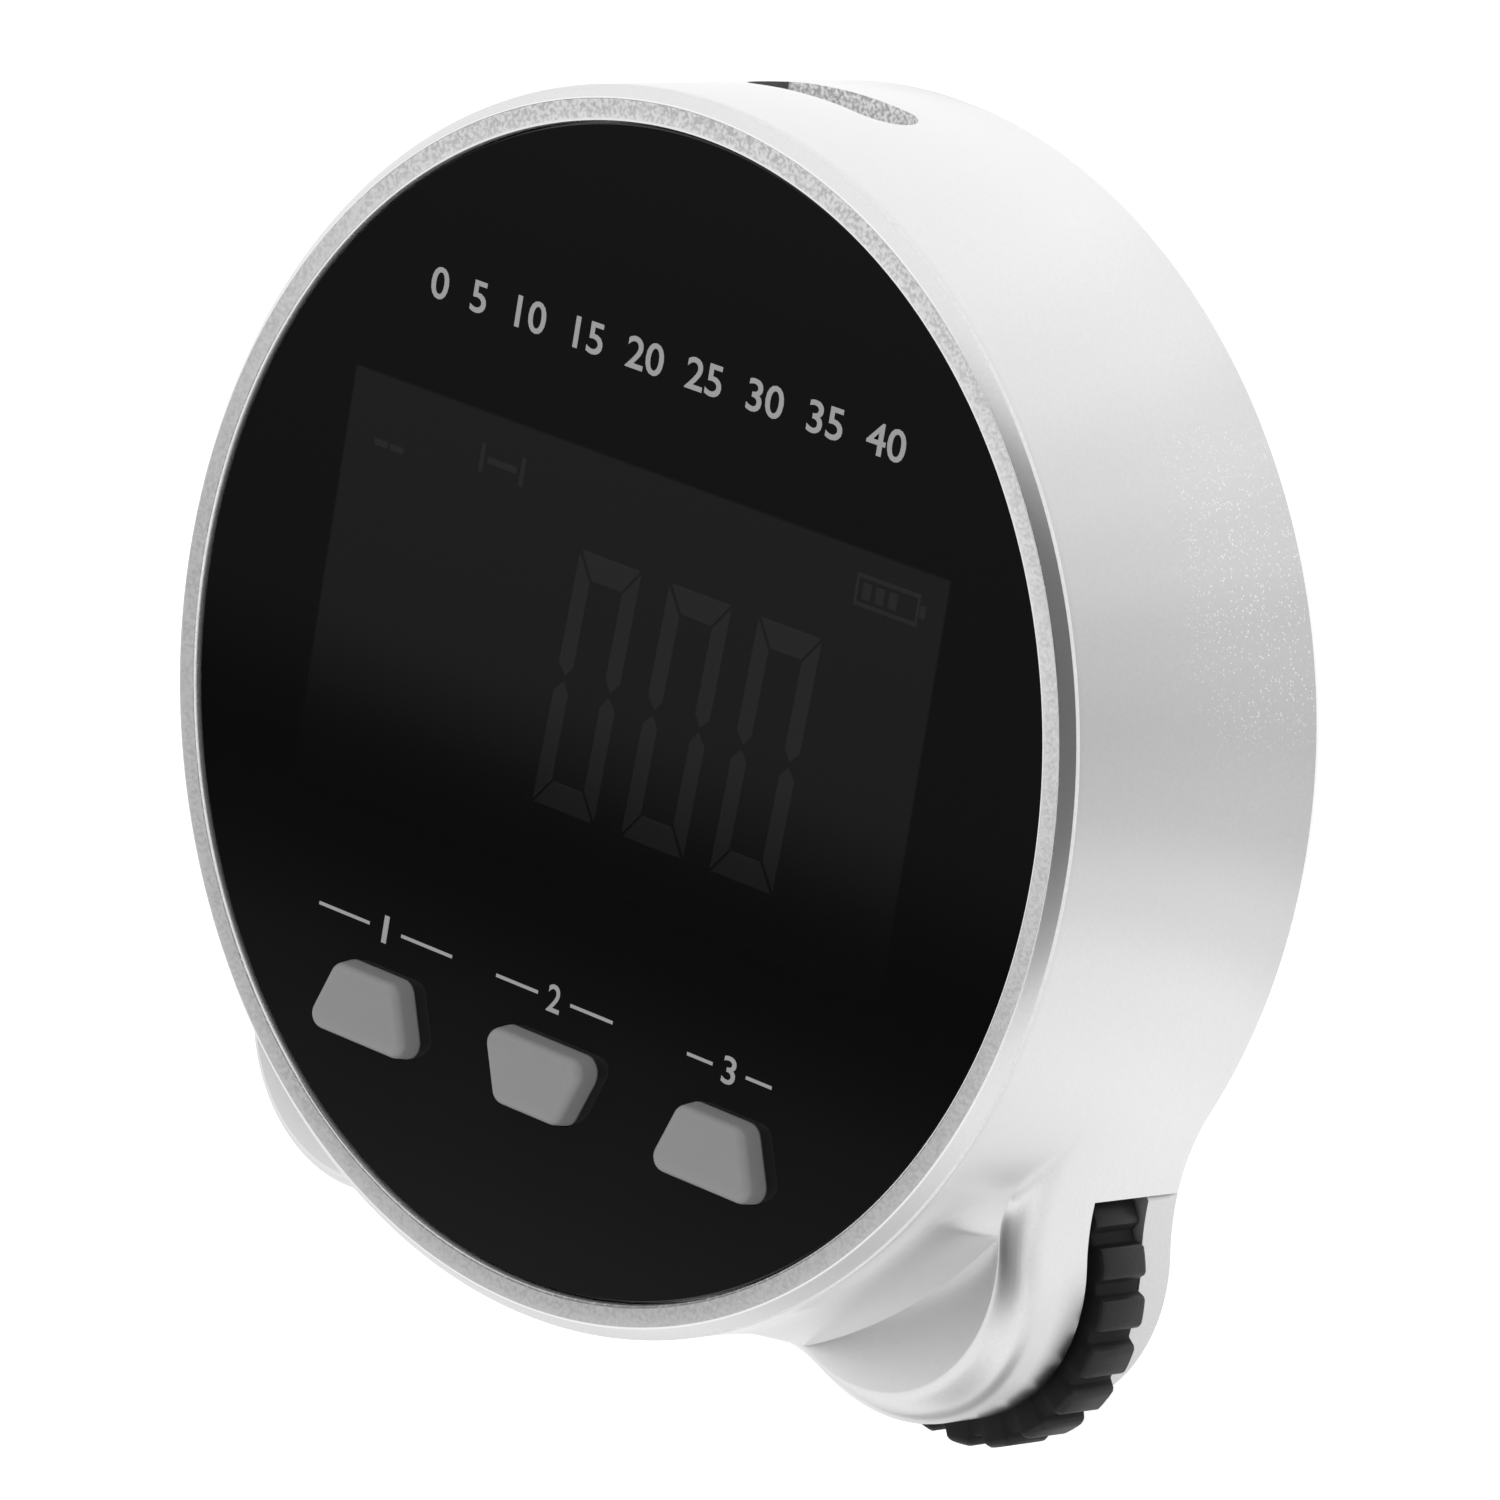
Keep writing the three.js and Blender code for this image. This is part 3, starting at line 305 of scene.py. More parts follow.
class Graph:
    """A node tree under construction, with short calls that add and wire its nodes."""

    def __init__(self, tree: Tree) -> None:
        """Takes the tree to fill."""
        self.tree = tree

    def feed(self, target: Socket, value: object) -> None:
        """Links a socket to an input, or sets the input to a number or a shade.

        Args:
            target: The input.
            value: The socket, number or shade.
        """
        if isinstance(value, Socket):
            self.tree.links.new(value, target)
        else:
            target.default_value = colour(value) if target.type == "RGBA" else value

    def node(self, kind: str, inputs: Mapping[str | int, object] | None = None, **settings: object) -> Node:
        """Adds a shader node.

        Args:
            kind: Its type, without the first words that all have.
            inputs: What each input gets: a socket, a number or a shade.
            settings: Its properties.

        Returns:
            The node.
        """
        made = self.tree.nodes.new(f"ShaderNode{kind}")
        for key, value in settings.items():
            setattr(made, key, value)
        for key, value in (inputs or {}).items():
            self.feed(made.inputs[key], value)
        return made

    def maths(self, operation: str, first: object, second: object = 0.0) -> Socket:
        """Calculates with two operands, each a socket or a number."""
        return self.node("Math", {0: first, 1: second}, operation=operation).outputs[0]

    def vector(self, operation: str, inputs: Mapping[str | int, object]) -> Socket:
        """Calculates with vectors."""
        return self.node("VectorMath", inputs, operation=operation).outputs[0]

    def length(self, vector: Socket) -> Socket:
        """A vector's length."""
        return self.node("VectorMath", {0: vector}, operation="LENGTH").outputs["Value"]

    def split(self, vector: Socket) -> Iterable[Socket]:
        """A vector's X, Y and Z."""
        return self.node("SeparateXYZ", {0: vector}).outputs

    def noise(self, place: Socket, size: Socket, detail: float) -> Socket:
        """Noise over a place."""
        return self.node("TexNoise", {"Vector": place, "Scale": size, "Detail": detail}).outputs["Fac"]

    def ramp(self, value: Socket, low: float, high: float, start: float = 0.0, end: float = 1.0) -> Socket:
        """Maps a value smoothly from one span to another.

        Args:
            value: The value.
            low: Where the change starts.
            high: Where it ends.
            start: The result at and before low.
            end: The result at and after high.

        Returns:
            The result.
        """
        spans = {"Value": value, "From Min": low, "From Max": high, "To Min": start, "To Max": end}
        return self.node("MapRange", spans, interpolation_type="SMOOTHSTEP").outputs["Result"]

    def blend(self, share: Socket, first: object, second: object) -> Socket:
        """Mixes two colours, each a socket, a grey or three values. The node's colours are sockets 6, 7 and 2."""
        return self.node("Mix", {0: share, 6: first, 7: second}, data_type="RGBA").outputs[2]

    def steps(self, value: Socket, stops: Sequence[Flat]) -> Socket:
        """Maps a value through a smooth ramp.

        Args:
            value: The value.
            stops: Pairs of value and strength, in rising order.

        Returns:
            The strength.
        """
        (low, first), (high, last) = stops[0], stops[-1]
        share = self.node("MapRange", {"Value": value, "From Min": low, "From Max": high}).outputs["Result"]
        made = self.node("ValToRGB", {"Fac": share})
        made.color_ramp.interpolation = "EASE"
        elements = made.color_ramp.elements
        elements[0].color, elements[-1].color = colour(first), colour(last)
        for at, strength in stops[1:-1]:
            elements.new((at - low) / (high - low)).color = colour(strength)
        return made.outputs["Color"]


class Sheet(Graph):
    """A material under construction, with this point's own coordinates."""

    def __init__(self, name: str) -> None:
        """Makes a material with one Principled shader.

        Args:
            name: The material's name.
        """
        self.material = bpy.data.materials.new(name)
        self.material.use_nodes = True
        super().__init__(self.material.node_tree)
        self.here = self.node("TexCoord").outputs["Object"]
        self.x, self.y, self.z = self.split(self.here)

    def group(self, tree: Tree, **sizes: float) -> Mapping[str, Socket]:
        """Places a shared effect with its own sizes, read at this point, and gives its outputs."""
        return self.node("Group", {"Place": self.here, **sizes}, node_tree=tree).outputs

    def bump(self, height: Socket, depth: float) -> Socket:
        """The surface's direction when a height raises it, depth in millimetres."""
        return self.node("Bump", {"Strength": 0.6, "Distance": depth * MM, "Height": height}).outputs["Normal"]

    def product(self, *factors: Socket) -> Socket:
        """Multiplies several values.

        Args:
            factors: The values.

        Returns:
            Their product.
        """
        total = factors[0]
        for factor in factors[1:]:
            total = self.maths("MULTIPLY", total, factor)
        return total

    def distance(self, middle: Flat) -> Socket:
        """How far this point is from an upright axis, in metres."""
        dx, dy = (self.maths("SUBTRACT", axis, at * MM) for axis, at in zip((self.x, self.y), middle))
        return self.maths("SQRT", self.maths("ADD", self.product(dx, dx), self.product(dy, dy)))

    def finish(self, inputs: Mapping[str, object]) -> Material:
        """Feeds the shader and gives the material.

        Args:
            inputs: What each of the shader's inputs gets.

        Returns:
            The material.
        """
        for key, value in inputs.items():
            self.feed(self.tree.nodes["Principled BSDF"].inputs[key], value)
        return self.material


def effect(name: str, sizes: Sequence[str], outputs: Sequence[str]) -> tuple[Graph, Mapping, Mapping]:
    """Starts a node group that is read at a place.

    Args:
        name: The group's name.
        sizes: Its number inputs.
        outputs: Its outputs. Normal is a direction, the others are numbers.

    Returns:
        The group's graph, what its inputs give and what its outputs take.
    """
    tree = bpy.data.node_groups.new(name, "ShaderNodeTree")
    for way, keys in (("INPUT", ("Place", *sizes)), ("OUTPUT", outputs)):
        for key in keys:
            kind = "Vector" if key in ("Place", "Normal") else "Float"
            tree.interface.new_socket(key, in_out=way, socket_type=f"NodeSocket{kind}")
    return Graph(tree), tree.nodes.new("NodeGroupInput").outputs, tree.nodes.new("NodeGroupOutput").inputs


def flake_effect(rare: float = 0.955, tilt: float = 0.03) -> Tree:
    """The sparkle of metallic paint: small cells, a few of them tilted and shinier, and slow clouds.

    Args:
        rare: The share of the cells that don't glint.
        tilt: How much the others are tilted.

    Returns:
        A group whose Flake, Cloud and Glint change over the surface, with the tilted Normal.
    """
    graph, start, end = effect("paint_flake", ("Size", "Clouds"), ("Flake", "Cloud", "Glint", "Normal"))
    cells = graph.node("TexVoronoi", {"Vector": start["Place"], "Scale": start["Size"]}).outputs["Color"]
    parts = graph.node("SeparateColor", {0: cells}).outputs
    glint = graph.maths("GREATER_THAN", parts[0], rare)
    lean = graph.vector("SUBTRACT", {0: cells, 1: (0.5, 0.5, 0.5)})
    lean = graph.vector("SCALE", {0: lean, "Scale": graph.maths("MULTIPLY", glint, tilt)})
    surface = graph.node("NewGeometry").outputs["Normal"]
    graph.feed(end["Flake"], parts[1])
    graph.feed(end["Cloud"], graph.noise(start["Place"], start["Clouds"], 3.0))
    graph.feed(end["Glint"], glint)
    graph.feed(end["Normal"], graph.vector("NORMALIZE", {0: graph.vector("ADD", {0: surface, 1: lean})}))
    return graph.tree


def grain_effect(coarser: float = 0.23, pits: float = 0.5) -> Tree:
    """Fine moulded or sanded texture: two sizes of noise, with small pits.

    Args:
        coarser: The second noise's scale, as a share of the first one's.
        pits: How deep it is, as a share.

    Returns:
        A group whose Grain and Height change over the surface.
    """
    graph, start, end = effect("fine_grain", ("Size",), ("Grain", "Height"))
    fine = graph.noise(start["Place"], start["Size"], 4.0)
    coarse = graph.noise(start["Place"], graph.maths("MULTIPLY", start["Size"], coarser), 2.0)
    graph.feed(end["Grain"], fine)
    graph.feed(end["Height"], graph.maths("ADD", fine, graph.maths("MULTIPLY", coarse, pits)))
    return graph.tree


# ---- Finishes


@dataclass(frozen=True)
class Moulded:
    """A plain moulded, cast or plated finish with fine grain."""

    name: str
    tint: object
    darker: float = 0.9
    roughness: float = 0.5
    spread: float = 0.12
    metallic: float = 0.0
    size: float = 4000.0
    depth: float = 0.01
    coat: float = 0.0
    coat_ior: float = 1.5
    specular: float = 0.5
    crisp: float = 0.5

    def build(self, grain: Tree) -> Material:
        """Makes the material: grain varies its shade and roughness, and raises it a little.

        Args:
            grain: The shared grain effect.

        Returns:
            The material.
        """
        sheet = Sheet(self.name)
        grains = sheet.group(grain, Size=self.size)
        full = colour(self.tint)[:3]
        dark = tuple(c * self.darker for c in full)
        speck = sheet.ramp(grains["Grain"], 0.5 - self.crisp, 0.5 + self.crisp)
        half = self.spread / 2
        return sheet.finish({
            "Base Color": sheet.blend(speck, dark, full),
            "Roughness": sheet.ramp(grains["Grain"], 0.3, 0.7, self.roughness - half, self.roughness + half),
            "Metallic": self.metallic,
            "Coat Weight": self.coat,
            "Coat IOR": self.coat_ior,
            "Specular IOR Level": self.specular,
            "Normal": sheet.bump(grains["Height"], self.depth),
        })


@dataclass(frozen=True)
class SilverPaint:
    """Satin silver paint with fine flakes, painted glints on a few flakes, and darker on the foot skin next to the
    roller pocket.
    """

    name: str = "silver_paint"
    bright: float = 0.80
    dull: float = 0.775
    darkened_tint: float = 0.03
    roughness: float = 0.22
    glint_roughness: float = 0.2
    metallic: float = 0.85
    painted_glint_tint: float = 0.97
    painted_glint_metallic: float = 0.1
    painted_glint_side: Flat = (0.9, 0.436)
    flake_size: float = 10500.0
    cloud_size: float = 45.0
    darkening_centre: Flat | None = None
    darkening_low: float = 7.1
    darkening_high: float = 9.6
    darkening_reach: float = 11.5

    def darkening_mask(self, sheet: Sheet, cloud: Socket) -> Socket:
        """How darkened this point is: low on the skin, within reach of the axle and below it.

        Args:
            sheet: The material under construction.
            cloud: The paint's slow clouds, which break up the darkening.

        Returns:
            A share from 0 to 1.
        """
        x, y = self.darkening_centre
        rise = sheet.ramp(sheet.z, self.darkening_low * MM, self.darkening_high * MM, 1, 0)
        near = sheet.ramp(sheet.distance((x, y)), (self.darkening_reach - 3) * MM, (self.darkening_reach + 2) * MM, 1, 0)
        outer = sheet.ramp(sheet.y, (y - 3.5) * MM, (y + 4) * MM, 1, 0)
        return sheet.product(rise, near, outer, sheet.ramp(cloud, 0.3, 0.75, 0.75, 1))

    def painted_glint_mask(self, sheet: Sheet) -> Socket:
        """How strong the painted glints are here: on the wall's right side, more so towards its back edge.

        Args:
            sheet: The material under construction.

        Returns:
            A share from 0 to 0.5.
        """
        across, up, _ = sheet.split(sheet.node("NewGeometry").outputs["Normal"])
        across, up = (sheet.maths("MULTIPLY", way, share) for way, share in zip((across, up), self.painted_glint_side))
        shown = sheet.ramp(sheet.maths("ADD", across, up), 0.93, 0.995, 0, 0.5)
        return sheet.product(shown, sheet.ramp(sheet.z, 5 * MM, 15 * MM, 1, 0.12))

    def build(self, flake: Tree) -> Material:
        """Makes the material: painted glints brighten a few flakes, clouds shift the shade, and a soft darkening lies
        along one edge next to the roller pocket.

        Args:
            flake: The shared flake effect.

        Returns:
            The material.
        """
        sheet = Sheet(self.name)
        flakes = sheet.group(flake, Size=self.flake_size, Clouds=self.cloud_size)
        tint = sheet.blend(sheet.ramp(flakes["Flake"], 0, 1), self.dull, self.bright)
        # Darker colour on the foot skin next to the roller pocket, set by height, distance from the axle and side.
        if self.darkening_centre:
            tint = sheet.blend(self.darkening_mask(sheet, flakes["Cloud"]), tint, self.darkened_tint)
        # Painted glints: on the wall's right side, a few flake cells get a bright, barely metallic colour.
        painted_glints = sheet.product(flakes["Glint"], self.painted_glint_mask(sheet))
        rough = sheet.ramp(flakes["Cloud"], 0.3, 0.7, self.roughness - 0.03, self.roughness + 0.04)
        sheer = sheet.maths("MULTIPLY", flakes["Glint"], self.glint_roughness - self.roughness)
        return sheet.finish({
            "Base Color": sheet.blend(painted_glints, tint, self.painted_glint_tint),
            "Roughness": sheet.maths("ADD", rough, sheer),
            "Metallic": sheet.ramp(painted_glints, 0, 1, self.metallic, self.painted_glint_metallic),
            "Normal": flakes["Normal"],
        })


@dataclass(frozen=True)
class SandedRim:
    """The bare sanded rim: speckled, with painted light that makes it brighter towards its upper right, and more pitted
    at the top.
    """

    name: str = "sanded_rim"
    # dull and bright are the painted-light colours, at the rim's lower left and at its upper right.
    dull: float = 0.565
    bright: float = 0.84
    speckled: float = 0.93
    pitted: float = 0.76

    def build(self, grain: Tree) -> Material:
        """Makes the material: the place on the rim decides its painted light and how deep the specks are.

        Args:
            grain: The shared grain effect.

        Returns:
            The material.
        """
        sheet = Sheet(self.name)
        grains = sheet.group(grain, Size=4300.0)
        # Painted light: the colour brightens towards the upper right.
        painted_light_side = sheet.maths("ADD", sheet.maths("MULTIPLY", sheet.x, 0.25), sheet.y)
        tint = sheet.blend(sheet.ramp(painted_light_side, -12 * MM, 33 * MM), self.dull, self.bright)
        low = sheet.blend(sheet.ramp(sheet.y, 18 * MM, 33 * MM), self.speckled, self.pitted)
        speck = sheet.blend(sheet.ramp(grains["Grain"], 0.38, 0.6), low, 1.0)
        return sheet.finish({
            "Base Color": sheet.vector("MULTIPLY", {0: tint, 1: speck}),
            "Roughness": sheet.ramp(grains["Grain"], 0.3, 0.7, 0.3, 0.5),
            "Metallic": 0.45,
            "Normal": sheet.bump(grains["Height"], 0.05),
        })


@dataclass(frozen=True)
class GreyTopRubber:
    """Black tyre rubber, greyer and smoother towards the tooth tops, darker in the gaps."""

    name: str = "tyre_rubber"
    deep: float = 0.0028
    lighter: float = 0.0088
    lighter_from: float = 9.45
    lighter_to: float = 9.9

    def build(self, grain: Tree) -> Material:
        """Makes the material: the distance from the axle decides how grey and smooth a point is.

        Args:
            grain: The shared grain effect.

        Returns:
            The material.
        """
        sheet = Sheet(self.name)
        # Greyer and smoother towards the tooth tops, by distance from the axle.
        lighter = sheet.ramp(sheet.distance(AXLE), self.lighter_from * MM, self.lighter_to * MM)
        grains = sheet.group(grain, Size=3500.0)
        mottled = sheet.product(lighter, sheet.ramp(grains["Grain"], 0.25, 0.7, 0.55, 1))
        return sheet.finish({
            "Base Color": sheet.blend(mottled, self.deep, self.lighter),
            "Roughness": sheet.ramp(lighter, 0, 1, 0.72, 0.44),
            "Specular IOR Level": 0.36,
            "Normal": sheet.bump(grains["Height"], 0.03),
        })


@dataclass(frozen=True)
class PrintedWindow:
    """Polished window with black print behind it, and a display area that is glossier."""

    name: str = "printed_window"
    print_shade: float = 0.0031
    display_shade: float = 0.0025
    display_x: Flat = (-23.5, 23.5)
    display_y: Flat = (-8.83, 14.97)
    edge: float = 0.12

    def build(self, grain: Tree) -> Material:
        """Makes the material: the display's rectangle is a mask of the place on the window.

        Args:
            grain: The shared grain effect.

        Returns:
            The material.
        """
        sheet = Sheet(self.name)
        sides = []
        for axis, (low, high) in ((sheet.x, self.display_x), (sheet.y, self.display_y)):
            for at, before in ((low, 0), (high, 1)):
                sides.append(sheet.ramp(axis, (at - self.edge) * MM, (at + self.edge) * MM, before, 1 - before))
        mask = sheet.product(*sides)
        return sheet.finish({
            "Base Color": sheet.blend(mask, self.print_shade, self.display_shade),
            "Roughness": sheet.ramp(sheet.group(grain, Size=2500.0)["Grain"], 0.3, 0.8, 0.03, 0.06),
            "Coat Weight": mask,
            "Coat Roughness": 0.04,
            "Coat IOR": 1.8,
        })


# ---- The case


def wrapped(angle: float) -> float:
    """An angle brought between minus and plus half a turn."""
    return (angle + math.pi) % FULL - math.pi


def arc(x: float, y: float, radius: float, start: float, end: float, steps: int) -> list[Flat]:
    """Points of an arc, both ends included."""
    turns = (start + (end - start) * i / steps for i in range(steps + 1))
    return [(x + radius * math.cos(t), y + radius * math.sin(t)) for t in turns]


@dataclass
class CaseShape:
    """The round body with its two feet, in millimetres about the display's axis."""

    radius: float = 34.965
    depth: float = 20.4
    foot_angle: float = math.radians(-50.8)
    foot_centre: float = 33.243
    foot_radius: float = 9.5
    foot_fillet: float = 13.8
    foot_front: float = 13.0
    root_length: float = 5.4
    root_reach: float = 1.3
    root_bend: float = 0.5
    right_crown: Flat = (2.6, 2.0)
    left_crown: Flat = (1.6, 1.0)
    crown_blend: float = 1.3
    crown_turn: float = 0.65
    edge_share: float = 0.13
    left_rise: float = 0.7
    left_turn: float = math.radians(1.1)
    back_round: float = 0.5
    rim_chamfer: float = 0.75
    fillet_steps: int = 22
    foot_steps: int = 44
    body_steps: int = 300
    crown_steps: int = 12
    back_steps: int = 4

    def foot_outline(self) -> list[Flat]:
        """The right foot in plan: a lobe faired into the body by hollow arcs, anticlockwise.

        Returns:
            The points about the case's own axis, in millimetres.
        """
        cx, cy = self.foot_centre * math.cos(self.foot_angle), self.foot_centre * math.sin(self.foot_angle)
        outer, reach = self.radius + self.foot_fillet, self.foot_radius + self.foot_fillet
        spread = math.acos((self.foot_centre**2 + outer**2 - reach**2) / (2 * self.foot_centre * outer))
        sides = []
        for side in (-1, 1):
            turn = self.foot_angle + side * spread
            hx, hy = outer * math.cos(turn), outer * math.sin(turn)
            to_foot = math.atan2(cy - hy, cx - hx)
            start = turn + math.pi
            hollow = arc(hx, hy, self.foot_fillet, start, start + wrapped(to_foot - start), self.fillet_steps)
            sides.append((hollow, self.foot_angle + wrapped(to_foot + math.pi - self.foot_angle)))
        lobe = arc(cx, cy, self.foot_radius, sides[0][1], sides[1][1], self.foot_steps)[1:-1]
        return [*sides[0][0], *lobe, *reversed(sides[1][0])]

    def outline(self) -> list[Flat]:
        """The whole outline behind the feet's crowns, anticlockwise.

        Returns:
            The points about the case's own axis, in millimetres.
        """
        right = self.foot_outline()
        cosine, sine = math.cos(self.left_turn), math.sin(self.left_turn)
        left = [(y * sine - x * cosine, x * sine + y * cosine) for x, y in reversed(right)]
        made = [*right]
        for (x, y), (end_x, end_y), after in ((right[-1], left[0], left), (left[-1], right[0], [])):
            start = math.atan2(y, x)
            end = start + (math.atan2(end_y, end_x) - start) % FULL
            steps = max(2, round(self.body_steps * (end - start) / FULL))
            made += [*arc(0, 0, self.radius, start, end, steps)[1:-1], *after]
        return made

    def crown(self, right: bool) -> Point:
        """One foot's crown: its length, how far it steps in, and the height of the flat front."""
        return (*self.right_crown, self.foot_front) if right else (*self.left_crown, self.foot_front + self.left_rise)

    def stand(self, right: bool, reach: float, z: float, ahead: bool) -> float:
        """How far the skin stands out from the round body.

        Args:
            right: The foot next to the roller, or the other one.
            reach: How far the outline stands out there.
            z: The height.
            ahead: At the flat front's own height, takes the side towards the rim.

        Returns:
            The distance in millimetres: rounded over behind the front, a hollow root ahead of it.
        """
        length, full, front = self.crown(right)
        behind = z < front or (z == front and not ahead)
        rise = max(0.0, 1 - (front - z) / length) if behind else 1.0
        shoulder = (1 - math.sqrt(1 - (self.crown_turn * rise) ** 2)) / (1 - math.sqrt(1 - self.crown_turn**2))
        edge = 1 - math.sqrt(1 - max(0.0, 1 - (1 - rise) / self.edge_share) ** 2)
        inset = full * (shoulder * (1 - self.edge_share) + edge * self.edge_share)
        blend = self.crown_blend * inset / full
        risen = sum(side * (x + math.hypot(x, blend)) / 2 for side, x in ((1, reach - inset), (-1, -inset)))
        if behind:
            return risen
        left = 1 - min(1.0, (z - front) / self.root_length)
        return min(risen, self.root_reach) * math.log1p((left / self.root_bend) ** 2) / math.log1p(self.root_bend**-2)

    def levels(self) -> list[tuple[float, bool]]:
        """The heights that the crowns and hollow roots need rings at.

        Returns:
            Rising pairs of a height and whether it lies ahead of the flat front, towards the rim.
        """
        found: set[tuple[float, bool]] = set()
        for right in (True, False):
            length, _, front = self.crown(right)
            for i in range(self.crown_steps + 1):
                found.add((front - length * (1 - math.sin(QUARTER * i / self.crown_steps)), False))
                found.add((front + self.root_length * i / self.crown_steps, True))
        return sorted(found)

    def ring(self, outline: Sequence[Flat], z: float, ahead: bool = False, inset: float = 0.0) -> list[Point]:
        """One ring of the skin in the part's frame.

        Args:
            outline: The whole outline.
            z: The ring's height.
            ahead: At a flat front's own height, takes the side towards the rim.
            inset: How far the ring steps in from the skin.

        Returns:
            The ring's points, in millimetres.
        """
        made = []
        for x, y in outline:
            length = math.hypot(x, y)
            scale = (self.radius + self.stand(x > 0, length - self.radius, z, ahead) - inset) / length
            made.append((x * scale, y * scale + AXIS_Y, z))
        return made

    def circle(self, outline: Sequence[Flat], radius: float, z: float) -> list[Point]:
        """A round ring with one point for each point of the outline."""
        scales = [radius / math.hypot(x, y) for x, y in outline]
        return [(x * scale, y * scale + AXIS_Y, z) for (x, y), scale in zip(outline, scales)]

    def back_rings(self, outline: Sequence[Flat]) -> list[list[Point]]:
        """The rings of the rounded back edge.

        Args:
            outline: The whole outline.

        Returns:
            The rings, from the back face up.
        """
        turns = [QUARTER * i / self.back_steps for i in range(self.back_steps + 1)]
        places = [(self.back_round * (1 - math.cos(t)), self.back_round * (1 - math.sin(t))) for t in turns]
        return [self.ring(outline, z, False, inset) for z, inset in places]


@dataclass
class Case:
    """The silver shell with its rim, feet, roller pocket and strap slot."""

    shape: CaseShape = field(default_factory=CaseShape)
    lens_opening: float = 32.903
    ledge_radius: float = 31.203
    ledge_z: float = 19.0
    ledge_low: float = 17.6
    cavity: float = 33.003
    pocket_radius: float = 10.95
    pocket_top: float = 7.15
    cup_wall: float = 1.2
    cup_low: float = 2.2
    web_top: float = 8.35
    slot_x: float = -1.0
    slot_half: float = 5.9
    slot_half_width: float = 2.0
    slot_z: float = 8.95
    slot_floor: float = 29.8
    slot_wall: float = 1.4
    slot_steps: int = 16

    def shell(self) -> Piece:
        """Raises the shell ring by ring: back edge, wall and feet, rim, then down the inside.

        Returns:
            The closed shell, before anything is cut from it.
        """
        s, out = self.shape, self.shape.outline()
        rings = s.back_rings(out) + [s.ring(out, z, ahead) for z, ahead in s.levels()]
        start, lip = s.depth - s.rim_chamfer, self.lens_opening
        for z, inset in (
            (start - 0.07, 0.0), (start + 0.02, 0.03), (start + 0.10, 0.10),
            (s.depth - 0.06, s.rim_chamfer - 0.06), (s.depth - 0.012, s.rim_chamfer),
        ):
            rings.append(s.ring(out, z, True, inset))
        for radius, z in (
            (s.radius - s.rim_chamfer - 0.06, s.depth), (lip + 0.20, s.depth), (lip + 0.06, s.depth - 0.05),
            (lip, s.depth - 0.18), (lip, self.ledge_z), (self.ledge_radius, self.ledge_z),
            (self.ledge_radius, self.ledge_low), (self.cavity, self.ledge_low), (self.cavity, 0.0),
        ):
            rings.append(s.circle(out, radius, z))
        return raise_rings(rings, closed_loop=True)

    def slot_solid(self, grow: float, low: float, high: float) -> Piece:
        """A round-ended bar through the wall at the strap slot.

        Args:
            grow: How much wider than the slot it is, on every side.
            low: Its lower end.
            high: Its upper end.

        Returns:
            The bar.
        """
        width = self.slot_half_width + grow
        inner = self.slot_half + grow - width
        right = arc(inner, 0, width, -QUARTER, QUARTER, self.slot_steps)
        left = arc(-inner, 0, width, QUARTER, 3 * QUARTER, self.slot_steps)
        levels = (low, high - 1.2, high - 1.0, high)
        return raise_rings([
            [(x + self.slot_x, level + AXIS_Y, self.slot_z + z) for x, z in [*right, *left]] for level in levels
        ])

    def in_slot(self, place: Vector) -> bool:
        """Whether a place in millimetres lies within the slot's reach."""
        beside, beyond = abs(place.x - self.slot_x) - self.slot_half, abs(place.z - self.slot_z) - self.slot_half_width
        return max(beside, beyond) < 0.1 and place.y > self.slot_floor

    def finish_at(self, middle: Vector, normal: Vector) -> str:
        """Which finish a face has.

        Args:
            middle: The face's middle, in millimetres.
            normal: Its direction.

        Returns:
            The finish's name.
        """
        s = self.shape
        reach, below = math.hypot(middle.x, middle.y - AXIS_Y), s.depth - middle.z
        if below < 0.2 and reach < s.radius - s.rim_chamfer - 0.02:
            return "rim" if below < 0.001 else "polished"
        if below < 0.1 and reach < s.radius:
            return "polished"
        # Painted highlight: a lighter, barely metallic band along the chamfer's lower edge.
        if abs(below - s.rim_chamfer + 0.02) < 0.085 and reach > s.radius - 0.1:
            return "lighter"
        if reach < s.radius - 0.03 and self.in_slot(middle):
            # Painted shade: the slot's left end, facing +X, is finished near-black for its own shadow.
            return "painted_shade_end" if normal.x > 0.62 else "slot_wall"
        return "paint"

    def build(self, finishes: Mapping[str, Material]) -> None:
        """Makes the shell, cuts its pocket and slot, and gives each face its finish.

        Args:
            finishes: The finishes by name, paint first.
        """
        s = self.shape
        shell = self.shell()
        cup_radius, inside = self.pocket_radius + self.cup_wall, s.radius - 1
        cup = turned([(cup_radius, self.cup_low), (cup_radius, self.web_top)], 96, AXLE)
        combine(cup, turned([(inside, 0), (inside, s.depth)], 180, (0, AXIS_Y)), Join.KEEP_COMMON)
        combine(shell, cup, Join.ADD)
        combine(shell, self.slot_solid(self.slot_wall, self.slot_floor - self.slot_wall, inside), Join.ADD)
        combine(shell, turned([(self.pocket_radius, -1), (self.pocket_radius, self.pocket_top)], 160, AXLE), Join.CUT)
        combine(shell, self.slot_solid(0.0, self.slot_floor, s.radius + 1), Join.CUT)
        settle(shade(shell), "case_shell", Body.CASE, "case_silver", [*finishes.values()], "housing")
        names = [*finishes]
        for face in shell.data.polygons:
            face.material_index = names.index(self.finish_at(face.center / MM, face.normal))


